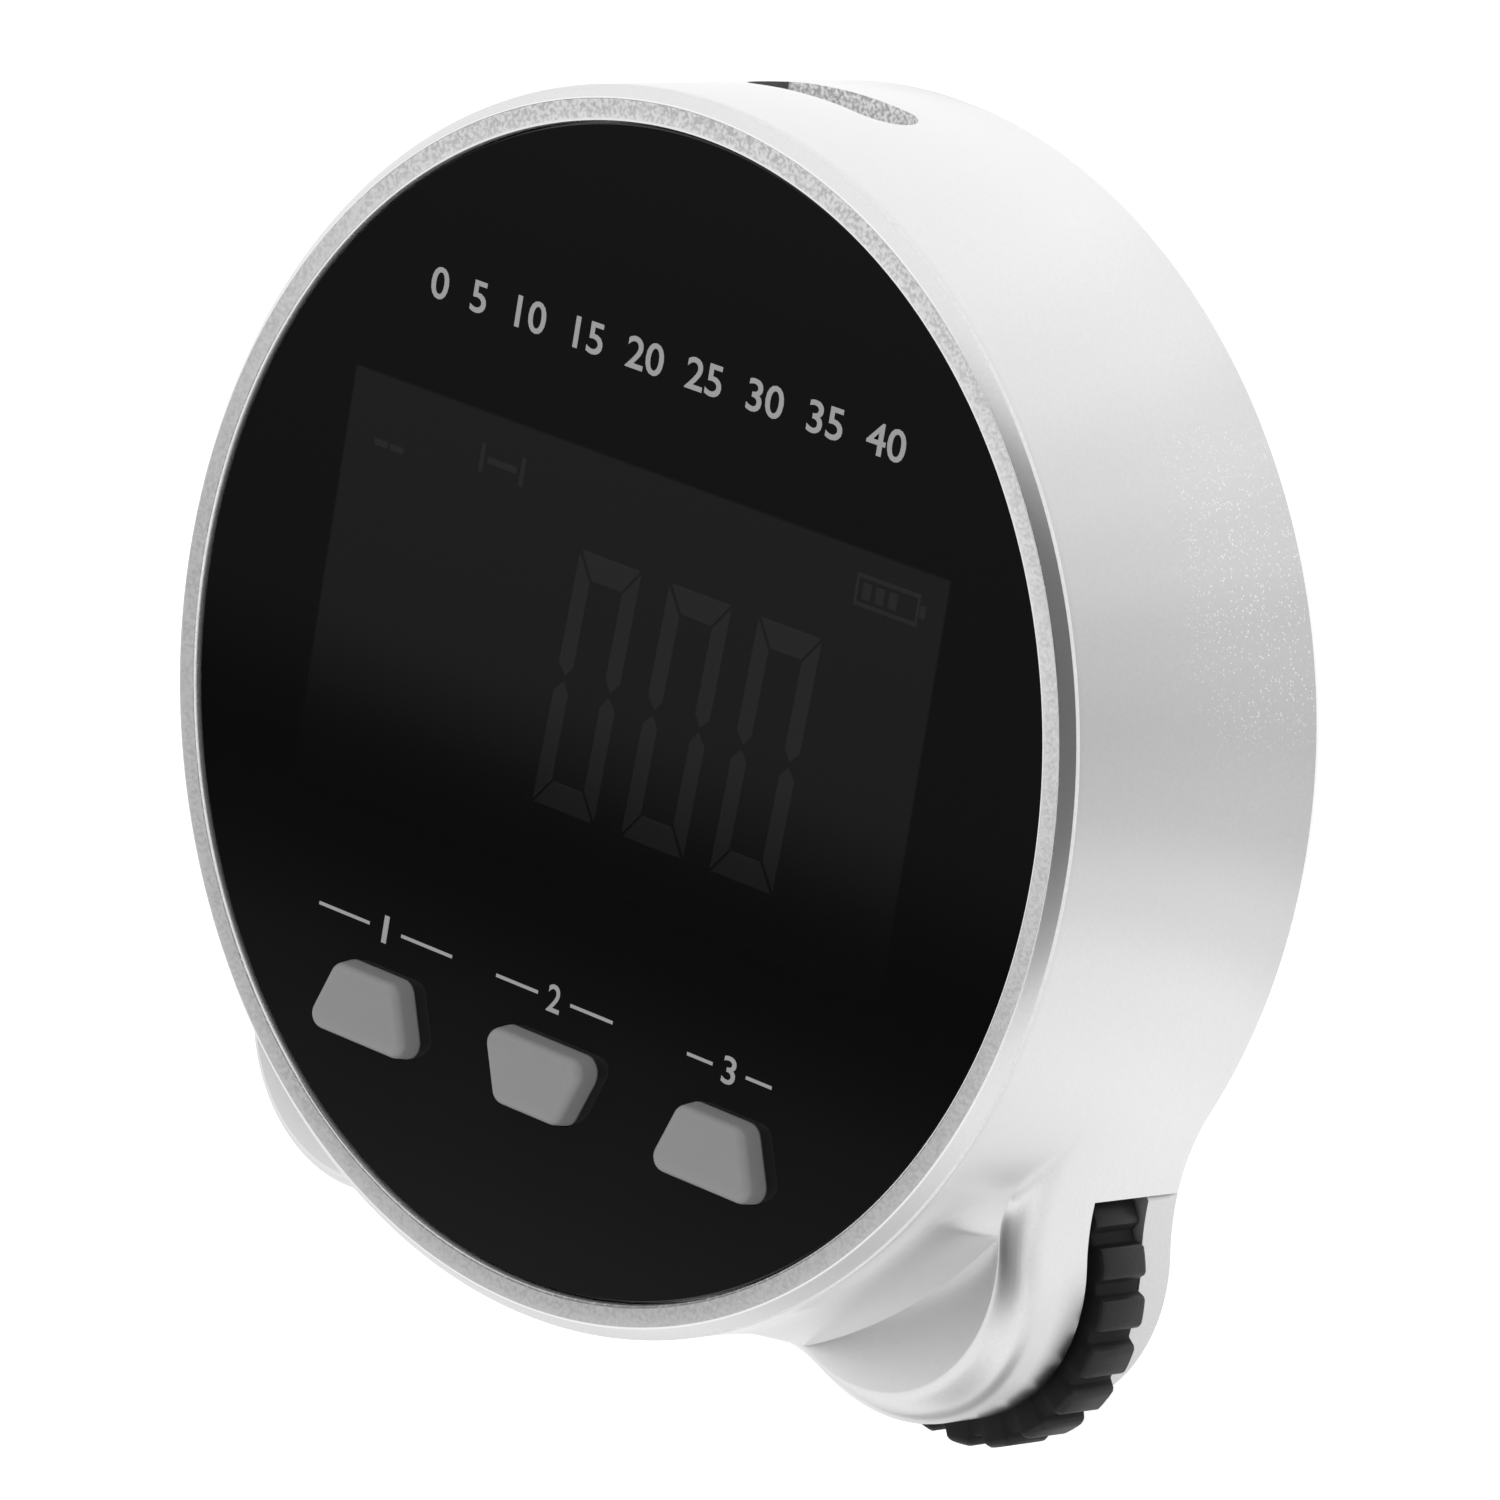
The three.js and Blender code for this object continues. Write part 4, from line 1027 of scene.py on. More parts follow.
@dataclass
class Back:
    """The back cover with its lug behind the roller, the battery door and the cover's screws."""

    shape: CaseShape = field(default_factory=CaseShape)
    radius: float = 32.803
    thickness: float = 2.0
    edge: float = 0.15
    lug_radius: float = 10.75
    lug_thickness: float = 2.65
    door_half: float = 24.8
    door_low: float = -7.482
    door_high: float = 14.818
    door_thickness: float = 1.4
    gap: float = 0.3
    hinge_y: float = -6.782
    hinge_z: float = 0.7
    pin_way: float = 0.7
    pin_radius: float = 0.4
    pin_steps: int = 24
    notch_radius: float = 5.0
    notch_depth: float = 0.7
    screw_ring: float = 30.603
    screw_angles: tuple[float, ...] = (60, 120, 204, 336)
    head_radius: float = 1.9
    head_height: float = 1.1

    def screw_places(self) -> list[Flat]:
        """The four screws in plan."""
        turns = (math.radians(a) for a in self.screw_angles)
        return [(self.screw_ring * math.cos(t), self.screw_ring * math.sin(t) + AXIS_Y) for t in turns]

    def lug(self) -> Piece:
        """The piece of the foot that the cover carries, behind the roller.

        Returns:
            The lug.
        """
        s, out = self.shape, self.shape.outline()
        foot = raise_rings([*s.back_rings(out), s.ring(out, self.lug_thickness)])
        disc = turned([(self.lug_radius, -1), (self.lug_radius, self.lug_thickness - 0.0005)], 160, AXLE)
        return combine(foot, disc, Join.KEEP_COMMON)

    def build_cover(self, silver: Material) -> None:
        """Makes the cover: a disc with soft edges, the lug, and openings for the door, its pins and the screws.

        Args:
            silver: The cover's finish.
        """
        r, t, e = self.radius, self.thickness, self.edge
        cover = turned([(r - e, 0), (r - 0.04, 0.05), (r, e), (r, t)], 240, (0, AXIS_Y))
        combine(cover, self.lug(), Join.ADD)
        half, low, high = self.door_half + self.gap, self.door_low + 0.03 - self.gap, self.door_high + self.gap
        combine(cover, plates([box(-half, half, low, high)], -1, t + 1), Join.CUT)
        pin_way = box(-half - 1, half + 1, self.hinge_y - self.pin_way, self.hinge_y + self.pin_way)
        combine(cover, plates([pin_way], 0.0001, t + 1), Join.CUT)
        reach = self.notch_radius
        notch = turned([(reach, -1), (reach - 0.3, self.notch_depth)], 72, (0, high))
        combine(notch, plates([box(-reach, reach, high - reach, high + reach / 2)], -2, 2), Join.KEEP_COMMON)
        combine(cover, notch, Join.CUT)
        head, floor, hole = self.head_radius, self.head_height + 0.2, 1.1
        seat = [(head + 0.3, -1), (head + 0.3, 0.0), (head + 0.2, 0.1), (head + 0.2, floor)]
        seat += [(hole, floor), (hole, t + 1)]
        for place in self.screw_places():
            combine(cover, turned(seat, 48, place), Join.CUT)
        settle(shade(cover), "cover_plate", Body.CASE, "cover_silver", [silver], "back_cover")

    def build_door(self, silver: Material) -> None:
        """Makes the door: a lid whose hinge edge is round, with two pins and soft edges.

        Args:
            silver: The cover's finish, which the door shares.
        """
        y, z, radius = self.hinge_y, self.hinge_z, self.hinge_z
        edge = [(y - radius * math.sin(t), z - radius * math.cos(t)) for t in (math.pi * i / 12 for i in range(13))]
        end = self.door_high
        far_edge = [(end, self.door_thickness), (end, self.edge), (end - self.edge, 0.0)]
        lid = raise_rings([[(x, *place) for place in [*edge, *far_edge]] for x in (-self.door_half, self.door_half)])
        turns = [FULL * i / self.pin_steps for i in range(self.pin_steps)]
        pins = []
        for side in (-1, 1):
            near, far = side * (self.door_half - 0.2), side * (self.door_half + 1.1)
            pins.append(raise_rings([
                [(x, y + r * math.cos(t), z + r * math.sin(t)) for t in turns]
                for x, r in ((near, self.pin_radius), (far - side * 0.1, self.pin_radius), (far, self.pin_radius - 0.1))
            ]))
        door = joined([soften(lid, 0.12), *pins])
        settle(shade(door), "door_lid", Body.DOOR, "cover_silver", [silver], "battery_door")

    def build_screws(self, steel: Material) -> None:
        """Makes one screw with a domed cross-slot head and copies it to its four places.

        Args:
            steel: The screws' finish.
        """
        r, h, shank, arm, narrow = self.head_radius, self.head_height + 0.1, 0.9, 1.0, 0.22
        first = turned([
            (r - 0.5, 0.1), (r - 0.15, 0.16), (r, 0.4), (r, h), (shank, h), (shank, h + 5.1), (shank / 2, h + 5.5),
        ], 40)
        for a, b in ((arm, narrow), (narrow, arm)):
            combine(first, plates([box(-a, a, -b, b)], -1, 0.6), Join.CUT)
        soften(first, 0.04, 1, 40)
        for i, (x, y) in enumerate(self.screw_places()):
            screw = first.copy()
            screw.data = first.data.copy()
            bpy.context.scene.collection.objects.link(screw)
            for vertex in screw.data.vertices:
                vertex.co += Vector((x, y, 0)) * MM
            name = f"cover_screw_fine_{i + 1}"
            settle(shade(screw, 30), name, Body.CASE, "steel", [steel], f"cover_screw_{i + 1}")
        bpy.data.objects.remove(first)


# ---- Window, print and keys


@dataclass
class Keys:
    """The three keys and their openings."""

    row_x: float = -0.28
    row_y: float = -21.243
    pitch: float = 13.898
    height: float = 4.4
    narrow: float = 5.2
    wide: float = 8.8
    corner: float = 1.0
    corner_steps: int = 8
    edge: float = 0.6
    edge_steps: int = 9
    draft: float = 0.1
    top: float = 21.55

    def places(self) -> list[tuple[Body, float, bool]]:
        """Each key's body, its place along X, and whether the wide side is up."""
        left, right = self.row_x - self.pitch, self.row_x + self.pitch
        return [(Body.KEY_LEFT, left, False), (Body.KEY_MIDDLE, self.row_x, True), (Body.KEY_RIGHT, right, False)]

    def outline(self, x: float, wide_up: bool, grow: float) -> list[Flat]:
        """A trapezium with round corners.

        Args:
            x: Its place along X.
            wide_up: Whether the wide side is up.
            grow: How much it is grown all round.

        Returns:
            Its outline in the part's frame, anticlockwise.
        """
        half = self.height / 2
        low, high = (self.narrow, self.wide) if wide_up else (self.wide, self.narrow)
        lean = math.atan2((low - high) / 2, self.height)

        def corner(half_width: float, side: int) -> Flat:
            """The middle of a right-hand corner's arc, on the lower or upper side."""
            return half_width - self.corner * math.tan((QUARTER - side * lean) / 2), side * (half - self.corner)

        (ax, ay), (bx, by) = corner(low / 2, -1), corner(high / 2, 1)
        points = []
        for cx, cy, start, end in (
            (ax, ay, -QUARTER, lean), (bx, by, lean, QUARTER),
            (-bx, by, QUARTER, math.pi - lean), (-ax, ay, math.pi - lean, 3 * QUARTER),
        ):
            points += arc(x + cx, self.row_y + AXIS_Y + cy, self.corner + grow, start, end, self.corner_steps)
        return points

    def build(self, grey: Material) -> None:
        """Makes each key: straight skirt, rounded edge and a top that is very slightly crowned.

        Args:
            grey: The keys' finish.
        """
        skirt = [(0.5, 18.1), (0.5, 19.05), (0.45, 19.1), (0.0, 19.1), (0.0, 20.1), (-self.draft, self.top - self.edge)]
        for i in range(1, self.edge_steps + 1):
            turn = QUARTER * i / self.edge_steps
            inset = self.edge * (1 - math.cos(turn)) + self.draft
            skirt.append((-inset, self.top - self.edge * (1 - math.sin(turn)) - 0.04))
        skirt += [(-0.8, self.top - 0.03), (-0.99, self.top)]
        for body, x, wide_up in self.places():
            cap = raise_rings([[(px, py, z) for px, py in self.outline(x, wide_up, grow)] for grow, z in skirt])
            stem = turned([(1.2, 16.8), (1.2, 18.2)], 32, (x, self.row_y + AXIS_Y))
            key = shade(joined([cap, stem]), 40)
            settle(key, f"{body.value}_cap", body, "key_grey", [grey], body.value)


@dataclass
class Window:
    """The polished front window, the marks printed on it and the figures of the display."""

    keys: Keys = field(default_factory=Keys)
    radius: float = 32.803
    low: float = 19.2
    top: float = 20.1
    mark_rise: float = 0.006
    mark_sink: float = 0.01
    figure_x: tuple[float, ...] = (-1.86, 5.25, 12.25)
    figure_low: float = -6.3
    figure_high: float = 8.4
    figure_width: float = 4.9
    figure_lean: float = 0.04
    bar: float = 1.3
    bar_tall: float = 1.15
    bar_gap: float = 0.16
    scale_box: tuple[float, ...] = (-18.7, 18.7, 19.2, 21.05)
    key_marks: tuple[Flat, ...] = ((-19.8, -8.8), (-5.2, 4.2), (10.1, 16.75))

    def build_pane(self, glass: Material) -> None:
        """Makes the pane: a disc with a fine polished edge and three key openings.

        Args:
            glass: The window's finish.
        """
        r, low, top = self.radius, self.low, self.top
        pane = turned([(r, low), (r, top - 0.08), (r - 0.08, top)], 300, (0, AXIS_Y))
        for _, x, wide_up in self.keys.places():
            levels = ((0.08, low - 1), (0.08, top - 0.03), (0.11, top), (0.11, top + 1))
            rings = [[(px, py, z) for px, py in self.keys.outline(x, wide_up, grow)] for grow, z in levels]
            combine(pane, raise_rings(rings), Join.CUT)
        settle(shade(pane), "window_pane", Body.CASE, "gloss_black", [glass], "front_lens")

    def flat_marks(self, outlines: Iterable[Sequence[Flat]]) -> Piece:
        """Thin marks on the window, from outlines about the display's axis."""
        placed = [[(x, y + AXIS_Y) for x, y in outline] for outline in outlines]
        return plates(placed, self.top - self.mark_sink, self.top + self.mark_rise)

    def figure(self, x: float) -> list[list[Flat]]:
        """The six outer bars of a seven-bar nought, pointed where they meet.

        Args:
            x: Its middle along X.

        Returns:
            The bars' outlines, leaning a little to the right.
        """
        low, high, bar, gap = self.figure_low, self.figure_high, self.bar, self.bar_gap
        middle, tall = (low + high) / 2, self.bar * self.bar_tall
        left, right = x - self.figure_width / 2, x + self.figure_width / 2
        ends = ((high, -1), (low, 1))
        bars = []
        for near, to in ends:
            inner = near + to * tall
            bars.append([(left + gap, near), (left + bar, inner), (right - bar, inner), (right - gap, near)])
        for edge, side in ((left, 1), (right, -1)):
            inner = edge + side * bar * 0.9
            for near, to in ends:
                point = middle - to * (gap + bar / 2)
                bars.append([
                    (edge, near + to * gap), (inner, near + to * (tall + gap)), (inner, point),
                    (edge + side * bar / 2, middle - to * gap), (edge, point),
                ])
        return [[(px + (py - middle) * self.figure_lean, py) for px, py in outline] for outline in bars]

    def build_figures(self, lit: Material) -> None:
        """Makes the display's figures, its sign bars, its unit mark and its battery mark.

        Args:
            lit: The figures' finish.
        """
        outlines = [bar for x in self.figure_x for bar in self.figure(x)]
        left, right, low, high, line = 16.75, 21.6, 10.9, 12.7, 0.22
        signs = [(-21.2, -20.1, 9.95, 10.3), (-19.9, -18.8, 9.95, 10.3)]
        unit = [(-12.8, -12.45, 10.6, 12.2), (-12.2, -9.8, 11.2, 11.55), (-9.55, -9.2, 10.6, 12.2)]
        battery = [
            (left, right, low, low + line), (left, right, high - line, high),
            (left, left + line, low + line, high - line), (right - line, right, low + line, high - line),
            (right + 0.05, right + 0.5, low + 0.55, high - 0.55),
            *((left + 0.55 + i, left + 1.2 + i, low + 0.45, high - 0.45) for i in range(3)),
        ]
        outlines += [box(*sides) for sides in (*signs, *unit, *battery)]
        settle(self.flat_marks(outlines), "display_figures", Body.CASE, "display_glass", [lit])

    def words(self, text: str, left: float, right: float, low: float, high: float) -> Piece:
        """Plain printed figures fitted to a box.

        Args:
            text: The figures.
            left: The box's left edge.
            right: Its right edge.
            low: Its lower edge.
            high: Its upper edge.

        Returns:
            A flat mesh piece on the window.
        """
        choose()
        bpy.ops.object.text_add()
        curve = bpy.context.object.data
        curve.body, curve.extrude, curve.offset, curve.resolution_u = text, 0.001, 0.012, 4
        bpy.ops.object.convert(target="MESH")
        made = bpy.context.object
        xs, ys = [v.co.x for v in made.data.vertices], [v.co.y for v in made.data.vertices]
        x0, y0 = min(xs), min(ys)
        sx, sy = (right - left) / (max(xs) - x0), (high - low) / (max(ys) - y0)
        for v in made.data.vertices:
            z = self.top + (self.mark_rise if v.co.z > 0 else -self.mark_sink)
            v.co = Vector((left + (v.co.x - x0) * sx, low + (v.co.y - y0) * sy + AXIS_Y, z)) * MM
        return made

    def build_marks(self, white: Material) -> None:
        """Prints a plain row of numbers at the top and a number between two dashes over each key.

        Args:
            white: The print's finish.
        """
        made = [self.words("0  5  10  15  20  25  30  35  40", *self.scale_box)]
        for number, (left, right) in zip("123", self.key_marks):
            middle = (left + right) / 2
            half = 0.2 if number == "1" else 0.52
            made.append(self.words(number, middle - half, middle + half, -17.5, -15.9))
            dashes = ((left, middle - 1.3), (middle + 1.3, right))
            made.append(self.flat_marks([box(start, end, -16.8, -16.6) for start, end in dashes]))
        settle(joined(made), "window_marks", Body.CASE, "gloss_black", [white])


# ---- Roller


@dataclass
class Roller:
    """The rubber tyre with its block teeth, and the hub inside it."""

    low: float = 3.0
    width: float = 3.9
    radius: float = 9.998
    teeth: int = 21
    first: float = math.radians(1.9)
    depth: float = 0.65
    duty: float = 0.55
    root: float = 0.11
    corner: float = 0.012
    tyre_low: float = 2.74
    tyre_high: float = 6.35
    chamfer: float = 0.35
    bore: float = 6.1
    hole_count: int = 6
    hole_ring: float = 3.7
    hole_radius: float = 1.1

    def outline(self, inset: float) -> list[Flat]:
        """The toothed outline, with soft corners on every tooth.

        Args:
            inset: How far it steps in, in millimetres.

        Returns:
            The points about the axle, in millimetres.
        """
        points = []
        pitch = FULL / self.teeth
        tip = pitch * self.duty / 2
        foot, soft = tip + pitch * self.root, self.corner
        low, high = self.radius - self.depth - inset, self.radius - inset
        half = [(0.0, high), (tip / 2, high), (tip - soft, high - 0.01), (tip + soft / 2, high - 0.12)]
        half += [(foot, low + 0.05), (foot + soft, low)]
        tooth = [*((-a, r) for a, r in reversed(half[1:])), *half]
        for i in range(self.teeth):
            middle = self.first + pitch * i
            points += [(r * math.cos(middle + a), r * math.sin(middle + a)) for a, r in tooth]
        return points

    def build_tyre(self, rubber: Material) -> None:
        """Makes the tyre: toothed outside with chamfered sides, and a plain bore.

        Args:
            rubber: The tyre's finish.
        """
        x0, y0 = AXLE
        z, c, w = self.tyre_low, self.chamfer, self.tyre_high - self.tyre_low
        outer = [(c, 0.0), (c * 0.4, c * 0.25), (0.0, c), (0.0, w - c), (c * 0.4, w - c * 0.25), (c, w)]
        rings = [[(x0 + x, y0 + y, z + dz) for x, y in self.outline(inset)] for inset, dz in outer]
        half_bore = [(self.bore + 0.9, 0.0), (self.bore + 0.8, 0.15), (self.bore, 0.15)]
        for radius, dz in [*((r, w - dz) for r, dz in half_bore), *reversed(half_bore)]:
            scaled = [(x, y, radius / math.hypot(x, y)) for x, y in self.outline(0.0)]
            rings.append([(x0 + x * scale, y0 + y * scale, z + dz) for x, y, scale in scaled])
        tyre = raise_rings(rings, closed_loop=True)
        settle(shade(tyre, 30), "tyre", Body.ROLLER, "rubber", [rubber], "roller_tyre")

    def build_hub(self, white: Material) -> None:
        """Makes the hub: a rim, a thinner web with holes and a boss round the axle.

        Args:
            white: The hub's finish.
        """
        x0, y0 = AXLE
        z, w = self.low, self.width
        half = [(1.1, 0.0), (2.0, 0.0), (2.1, 0.1), (2.1, 1.1), (5.2, 1.1), (5.2, 0.1), (5.3, 0.0), (6.0, 0.0)]
        profile = [*((r, z + dz) for r, dz in half), *((r, z + (w - dz)) for r, dz in reversed(half))]
        hub = turned(profile, 72, AXLE, closed_loop=True)
        for turn in (FULL * i / self.hole_count for i in range(self.hole_count)):
            place = (x0 + self.hole_ring * math.cos(turn), y0 + self.hole_ring * math.sin(turn))
            combine(hub, turned([(self.hole_radius, z - 1), (self.hole_radius, z + w + 1)], 24, place), Join.CUT)
        settle(shade(hub), "hub_wheel", Body.ROLLER, "white_plastic", [white], "roller_hub")


# ---- Studio


@dataclass
class Studio:
    """Pale floor, soft lights, cards that only reflections show, and the camera."""

    lens: float = 282.15
    sensor: float = 36.0
    place: Point = (435.053, 147.609, 484.645)
    turn: Point = (-4.2951, 43.8143, 12.7622)
    clip: Flat = (0.05, 20.0)
    floor_half: float = 3.0
    sky: float = 1.0
    window_card: Point = (-0.666, -0.2245, 0.7114)
    room_card: Point = (0.67, 0.17, 0.68)
    low_card: Point = (0.11, -0.94, 0.31)
    overhead: float = 0.45
    lamp_place: Point = (-0.2, 0.9, 0.7)
    lamp_side: float = 0.8

    def build_camera(self) -> None:
        """Makes the camera at the photograph's place."""
        data = bpy.data.cameras.new("view")
        data.lens, data.sensor_width, (data.clip_start, data.clip_end) = self.lens, self.sensor, self.clip
        camera = bpy.data.objects.new("view", data)
        bpy.context.scene.collection.objects.link(camera)
        camera.location = Vector(self.place) * MM
        camera.rotation_euler = Euler([math.radians(a) for a in self.turn])
        bpy.context.scene.camera = camera

    def build_floor(self) -> None:
        """Makes the pale plain floor just under the gauge."""
        choose()
        bpy.ops.mesh.primitive_plane_add(size=2 * self.floor_half, location=(0, 0, -0.0002))
        floor = bpy.context.object
        floor.name = "floor"
        floor.visible_glossy = False
        glow = {"Emission Color": 1.0, "Emission Strength": 0.45}
        floor.data.materials.append(Sheet("floor_white").finish({"Base Color": 0.9, "Roughness": 0.9, **glow}))
        floor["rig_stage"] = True

    def build_lamp(self) -> None:
        """Adds a soft square light of one watt, above the display's top, that reflections don't show."""
        data = bpy.data.lights.new("top_box", "AREA")
        data.shape, data.size, data.energy = "SQUARE", self.lamp_side, 1.0
        light = bpy.data.objects.new("top_box", data)
        bpy.context.scene.collection.objects.link(light)
        light.location = self.lamp_place
        light.rotation_euler = Vector(self.lamp_place).to_track_quat("Z", "Y").to_euler()
        light.visible_glossy = False

    def card(self, name: str, size: float, middle: Vector, towards: Vector, up: Vector) -> tuple[Graph, Node, Socket]:
        """Stands a card that only reflections show.

        Args:
            name: Its name.
            size: Its side, in metres.
            middle: Its middle, in metres.
            towards: The direction it lies in, which is its own Z.
            up: Its own Y.

        Returns:
            Its graph, its emission node and the place on it.
        """
        choose()
        bpy.ops.mesh.primitive_plane_add(size=size, location=(0, 0, 0))
        card = bpy.context.object
        card.name, card.location = name, middle
        card.rotation_euler = Matrix((up.cross(towards), up, towards)).transposed().to_euler()
        card.visible_camera = card.visible_diffuse = card.visible_shadow = card.visible_transmission = False
        material = bpy.data.materials.new(name)
        material.use_nodes = True
        graph = Graph(material.node_tree)
        graph.tree.nodes.clear()
        glow = graph.node("Emission")
        graph.node("OutputMaterial", {0: glow.outputs[0]})
        card.data.materials.append(material)
        card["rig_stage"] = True
        return graph, glow, graph.node("TexCoord").outputs["Object"]

    def build_window_card(self) -> None:
        """Stands the dark card that the window mirrors: dim above, black across the middle, dim again below."""
        towards = Vector(self.window_card).normalized()
        up = Vector((0, towards.z, -towards.y)).normalized()
        far, view = 1.3, 0.653
        middle = Vector((0, 0.001, 0.02)) + towards * far
        graph, glow, here = self.card("window_card", 1.1, middle, towards, up)
        reach = (1 + far / view) * MM
        stops = (
            (-75, 0.9), (-45, 0.55), (-34, 0.22), (-30, 0.176), (-24, 0.126), (-18, 0.09), (-15, 0.045),
            (-12, 0.016), (-8, 0.01), (-5.5, 0.018), (-3, 0.047), (0, 0.078), (20, 0.09), (34, 0.12),
        )
        _, height, _ = graph.split(here)
        graph.feed(glow.inputs["Color"], graph.steps(height, [(y * reach, v) for y, v in stops]))

    def build_room_card(self) -> None:
        """Stands the dark round patch of the room that the rim's chamfer and the foot mirror, longer on its left."""
        towards = Vector(self.room_card).normalized()
        up = (Vector((0, 1, 0)) - towards * towards.y).normalized()
        graph, glow, here = self.card("room_card", 2.8, towards * 1.2, towards, up)
        x, y, _ = graph.split(here)
        right = graph.maths("MULTIPLY", graph.maths("MAXIMUM", x, 0.0), 1 - self.overhead)
        x = graph.maths("ADD", right, graph.maths("MULTIPLY", x, self.overhead))
        far = graph.length(graph.node("CombineXYZ", {"X": x, "Y": y}).outputs[0])
        stops = ((0.0, 0.0), (0.4, 0.03), (0.7, 0.25), (0.98, 0.8), (1.3, 1.0))
        graph.feed(glow.inputs["Color"], graph.steps(far, stops))

    def build_low_card(self) -> None:
        """Stands the faint dim patch, low in front, that the chamfer and the foot's root mirror."""
        towards = Vector(self.low_card).normalized()
        up = (Vector((0, 0, 1)) - towards * towards.z).normalized()
        graph, glow, here = self.card("low_card", 1.25, towards * 1.2, towards, up)
        stops = ((0.0, 0.5), (0.2, 0.6), (0.4, 0.8), (0.58, 1.0))
        graph.feed(glow.inputs["Color"], graph.steps(graph.length(here), stops))

    def build_floor_card(self) -> None:
        """Lays the floor that the side mirrors, dimmer on the gauge's right and below its feet."""
        graph, glow, here = self.card("floor_card", 2.0, Vector((0, 0, -0.0001)), Vector((0, 0, 1)), Vector((0, 1, 0)))
        x, y, _ = graph.split(here)
        turn, far = graph.maths("ARCTAN2", y, x), graph.length(here)
        round_stops = (
            (-180, 0.88), (-84, 0.88), (-72, 0.72), (-65, 0.6), (-57, 0.56), (-50, 0.72), (-43, 0.8), (-28, 0.88),
            (-16, 0.84), (-5.5, 0.68), (5, 0.51), (13, 0.47), (23, 0.53), (32, 0.64), (42, 0.73), (56, 0.86),
            (72, 0.94), (180, 0.96),
        )
        foot_stops = ((-180, 0.0), (-100, 0.0), (-88, 1.0), (-52, 1.0), (-38, 0.0), (180, 0.0))
        tone, share = (
            graph.steps(turn, [(math.radians(a), v) for a, v in stops]) for stops in (round_stops, foot_stops)
        )
        open_ring, foot_ring = (
            graph.steps(far, ((0.036, 1.17), (0.0565, 1.06), (0.065, v), (0.14, v), (0.26, 1.0))) for v in (1.0, 0.45)
        )
        strength = graph.node("Mix", {"Factor": share, "A": open_ring, "B": foot_ring}).outputs["Result"]
        graph.feed(glow.inputs["Color"], tone)
        graph.feed(glow.inputs["Strength"], strength)

    def build(self) -> None:
        """Makes the whole studio."""
        world = bpy.data.worlds.new("studio")
        bpy.context.scene.world = world
        world.use_nodes = True
        sky = world.node_tree.nodes["Background"]
        sky.inputs["Color"].default_value, sky.inputs["Strength"].default_value = colour(1.0), self.sky
        bpy.context.scene.view_settings.view_transform = "Standard"
        self.build_camera()
        self.build_floor()
        self.build_window_card()
        self.build_room_card()
        self.build_low_card()
        self.build_floor_card()
        self.build_lamp()


# ---- Everything


def dress_nodes(finishes: Mapping[str, Material]) -> None:
    """Gives every part that still shows its finish, by the record's material slot.

    Args:
        finishes: The finishes by the name of their material slot.
    """
    hidden = {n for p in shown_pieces() for n in p.get("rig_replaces", [])}
    for row in frame["record"]["subparts"]:
        node, slot = row["node"], row["material_slot"]
        if node in hidden:
            continue
        piece = frame["nodes"][node]
        piece.data.materials.clear()
        piece.data.materials.append(finishes[slot])


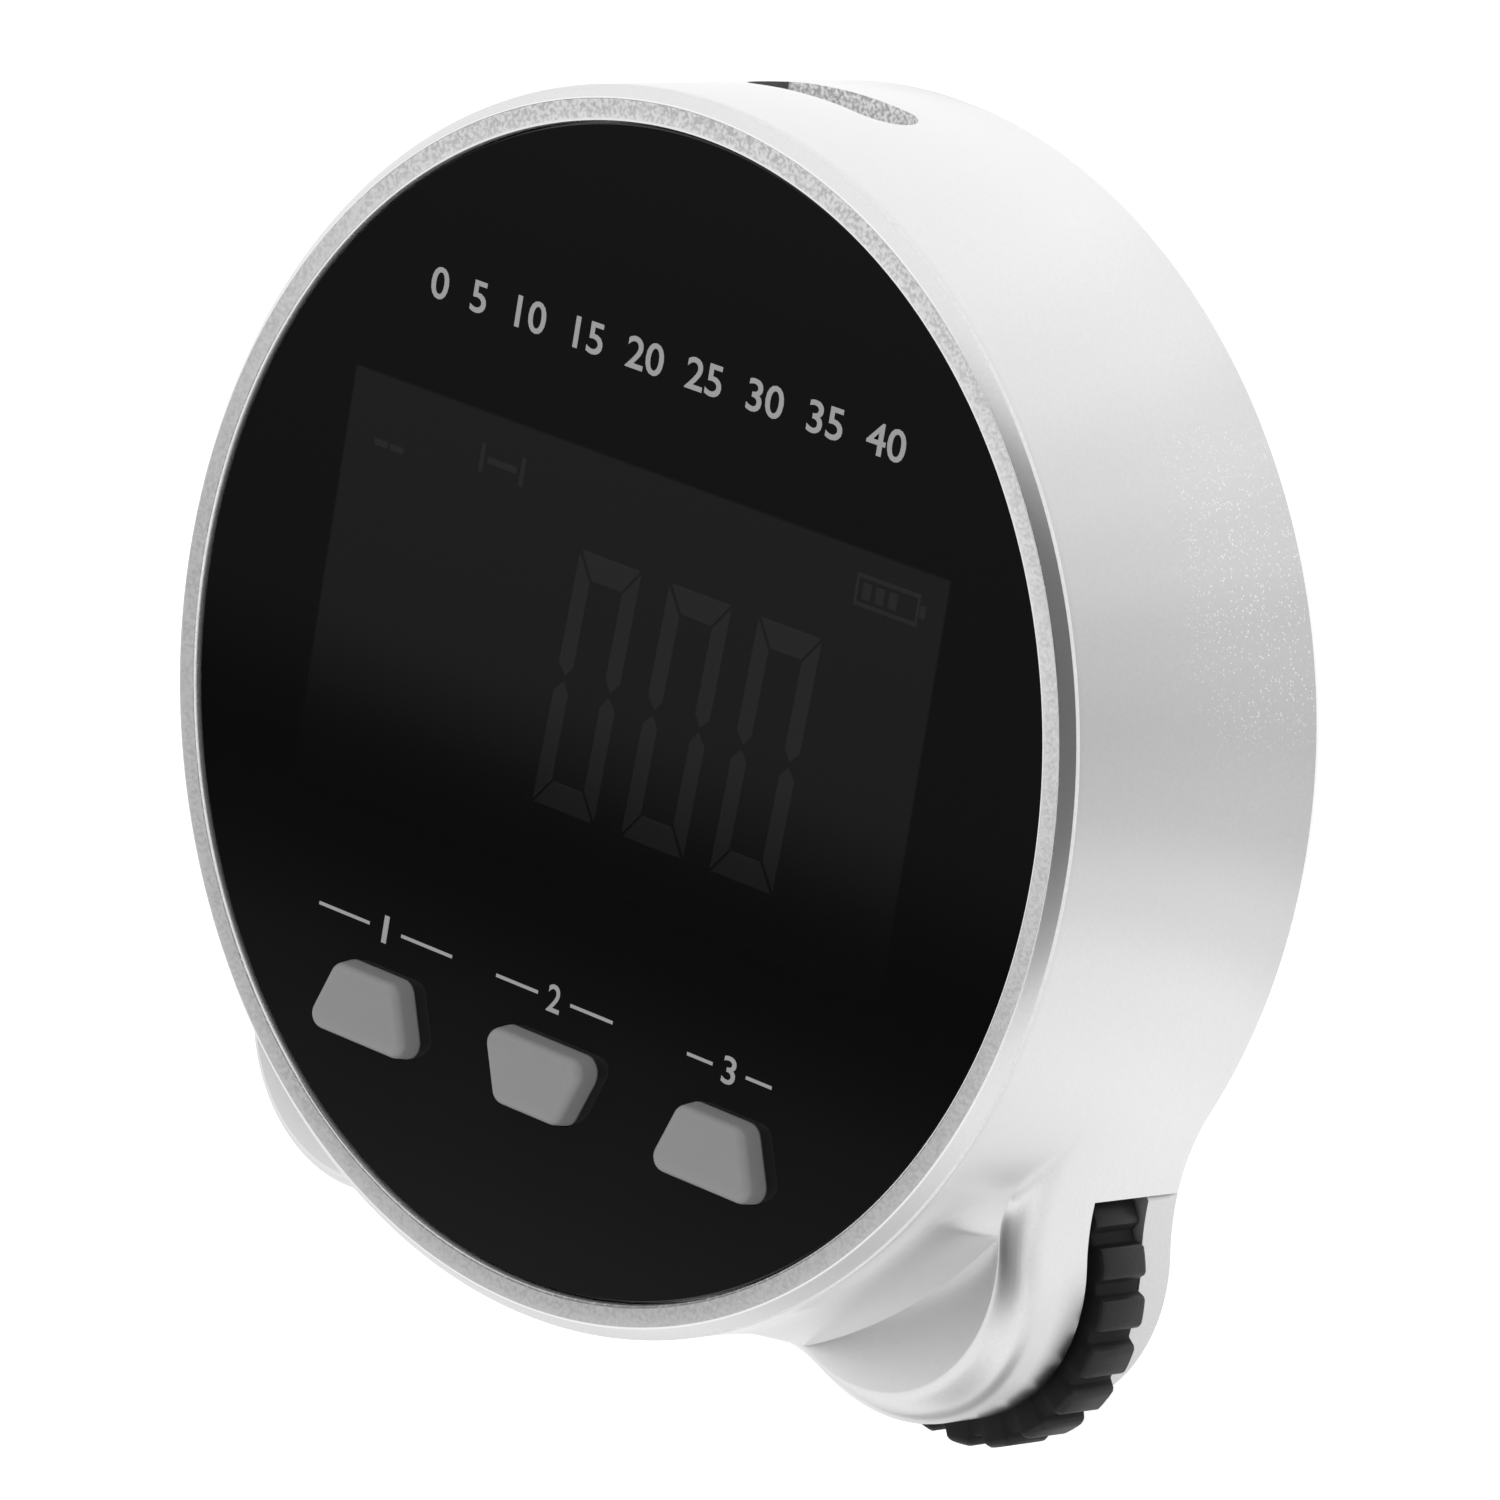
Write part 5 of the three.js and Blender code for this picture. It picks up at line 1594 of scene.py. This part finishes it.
def main() -> None:
    """Builds the finishes, the pieces and the studio."""
    logging.basicConfig(level=logging.INFO, format="%(message)s")
    flake, grain = flake_effect(), grain_effect()
    painted = {
        "case_silver": SilverPaint(darkening_centre=AXLE),
        "cover_silver": SilverPaint("silver_cover", bright=0.74, dull=0.71, glint_roughness=0.42, roughness=0.5),
    }
    grained = {
        "gloss_black": PrintedWindow(),
        "adhesive": Moulded("foam_tape", 0.02, roughness=0.9, size=2500, depth=0.05),
        "display_glass": Moulded("display_glass", (0.012, 0.014, 0.016), roughness=0.08, spread=0.03, depth=0.0),
        "diffuser": Moulded("diffuser", (0.8, 0.83, 0.86), roughness=0.45),
        "rubber": GreyTopRubber(),
        "key_grey": Moulded("key_grey", 0.236, 0.93, size=5000, depth=0.008),
        "board_green": Moulded("solder_mask", (0.015, 0.1, 0.04), roughness=0.35, size=1200),
        "chip_black": Moulded("chip_black", 0.014, roughness=0.55),
        "black_plastic": Moulded("black_moulding", 0.02, roughness=0.55, depth=0.02),
        "white_plastic": Moulded("white_acetal", (0.78, 0.78, 0.74), 0.96, roughness=0.35),
        "steel": Moulded("plated_steel", 0.56, 0.85, roughness=0.28, metallic=1.0, size=1800),
        "brass": Moulded("turned_brass", (0.6, 0.42, 0.14), roughness=0.3, metallic=1.0, size=1800),
        "cell_wrap": Moulded("cell_wrap", (0.045, 0.15, 0.26), roughness=0.3, metallic=0.2),
    }
    on_case = {
        "rim": SandedRim(),
        "slot_wall": Moulded("bare_slot_wall", 1.0, 0.5, spread=0.3, metallic=0.1, size=4200, depth=0.1, crisp=0.14),
        "polished": Moulded("polished_edge", 0.92, 0.96, roughness=0.22, metallic=0.9, depth=0.004),
        # Painted shade: the slot's left end in its own shadow.
        "painted_shade_end": Moulded("slot_end_painted_shade", 0.09, roughness=0.7, depth=0.05),
        # Painted highlight along the chamfer's lower edge.
        "lighter": Moulded("painted_highlight_edge", 0.76, 0.82, roughness=0.4, metallic=0.1),
    }
    clear = {"darker": 0.97, "spread": 0.02, "depth": 0.0}
    lit = Moulded("display_figures", 0.0075, roughness=0.05, coat=1.0, coat_ior=1.8, specular=1.0, **clear)
    finishes = {slot: finish.build(flake) for slot, finish in painted.items()}
    finishes.update((slot, finish.build(grain)) for slot, finish in grained.items())
    case_finishes = {"paint": finishes["case_silver"]}
    case_finishes.update((name, finish.build(grain)) for name, finish in on_case.items())

    Studio().build()
    Case().build(case_finishes)
    back = Back()
    back.build_cover(finishes["cover_silver"])
    back.build_door(finishes["cover_silver"])
    back.build_screws(finishes["steel"])
    window = Window()
    window.build_pane(finishes["gloss_black"])
    window.build_figures(lit.build(grain))
    window.build_marks(Moulded("printed_marks", 0.33, roughness=0.06, **clear).build(grain))
    window.keys.build(finishes["key_grey"])
    roller = Roller()
    roller.build_tyre(finishes["rubber"])
    roller.build_hub(finishes["white_plastic"])
    dress_nodes(finishes)


if __name__ == "__main__":
    main()
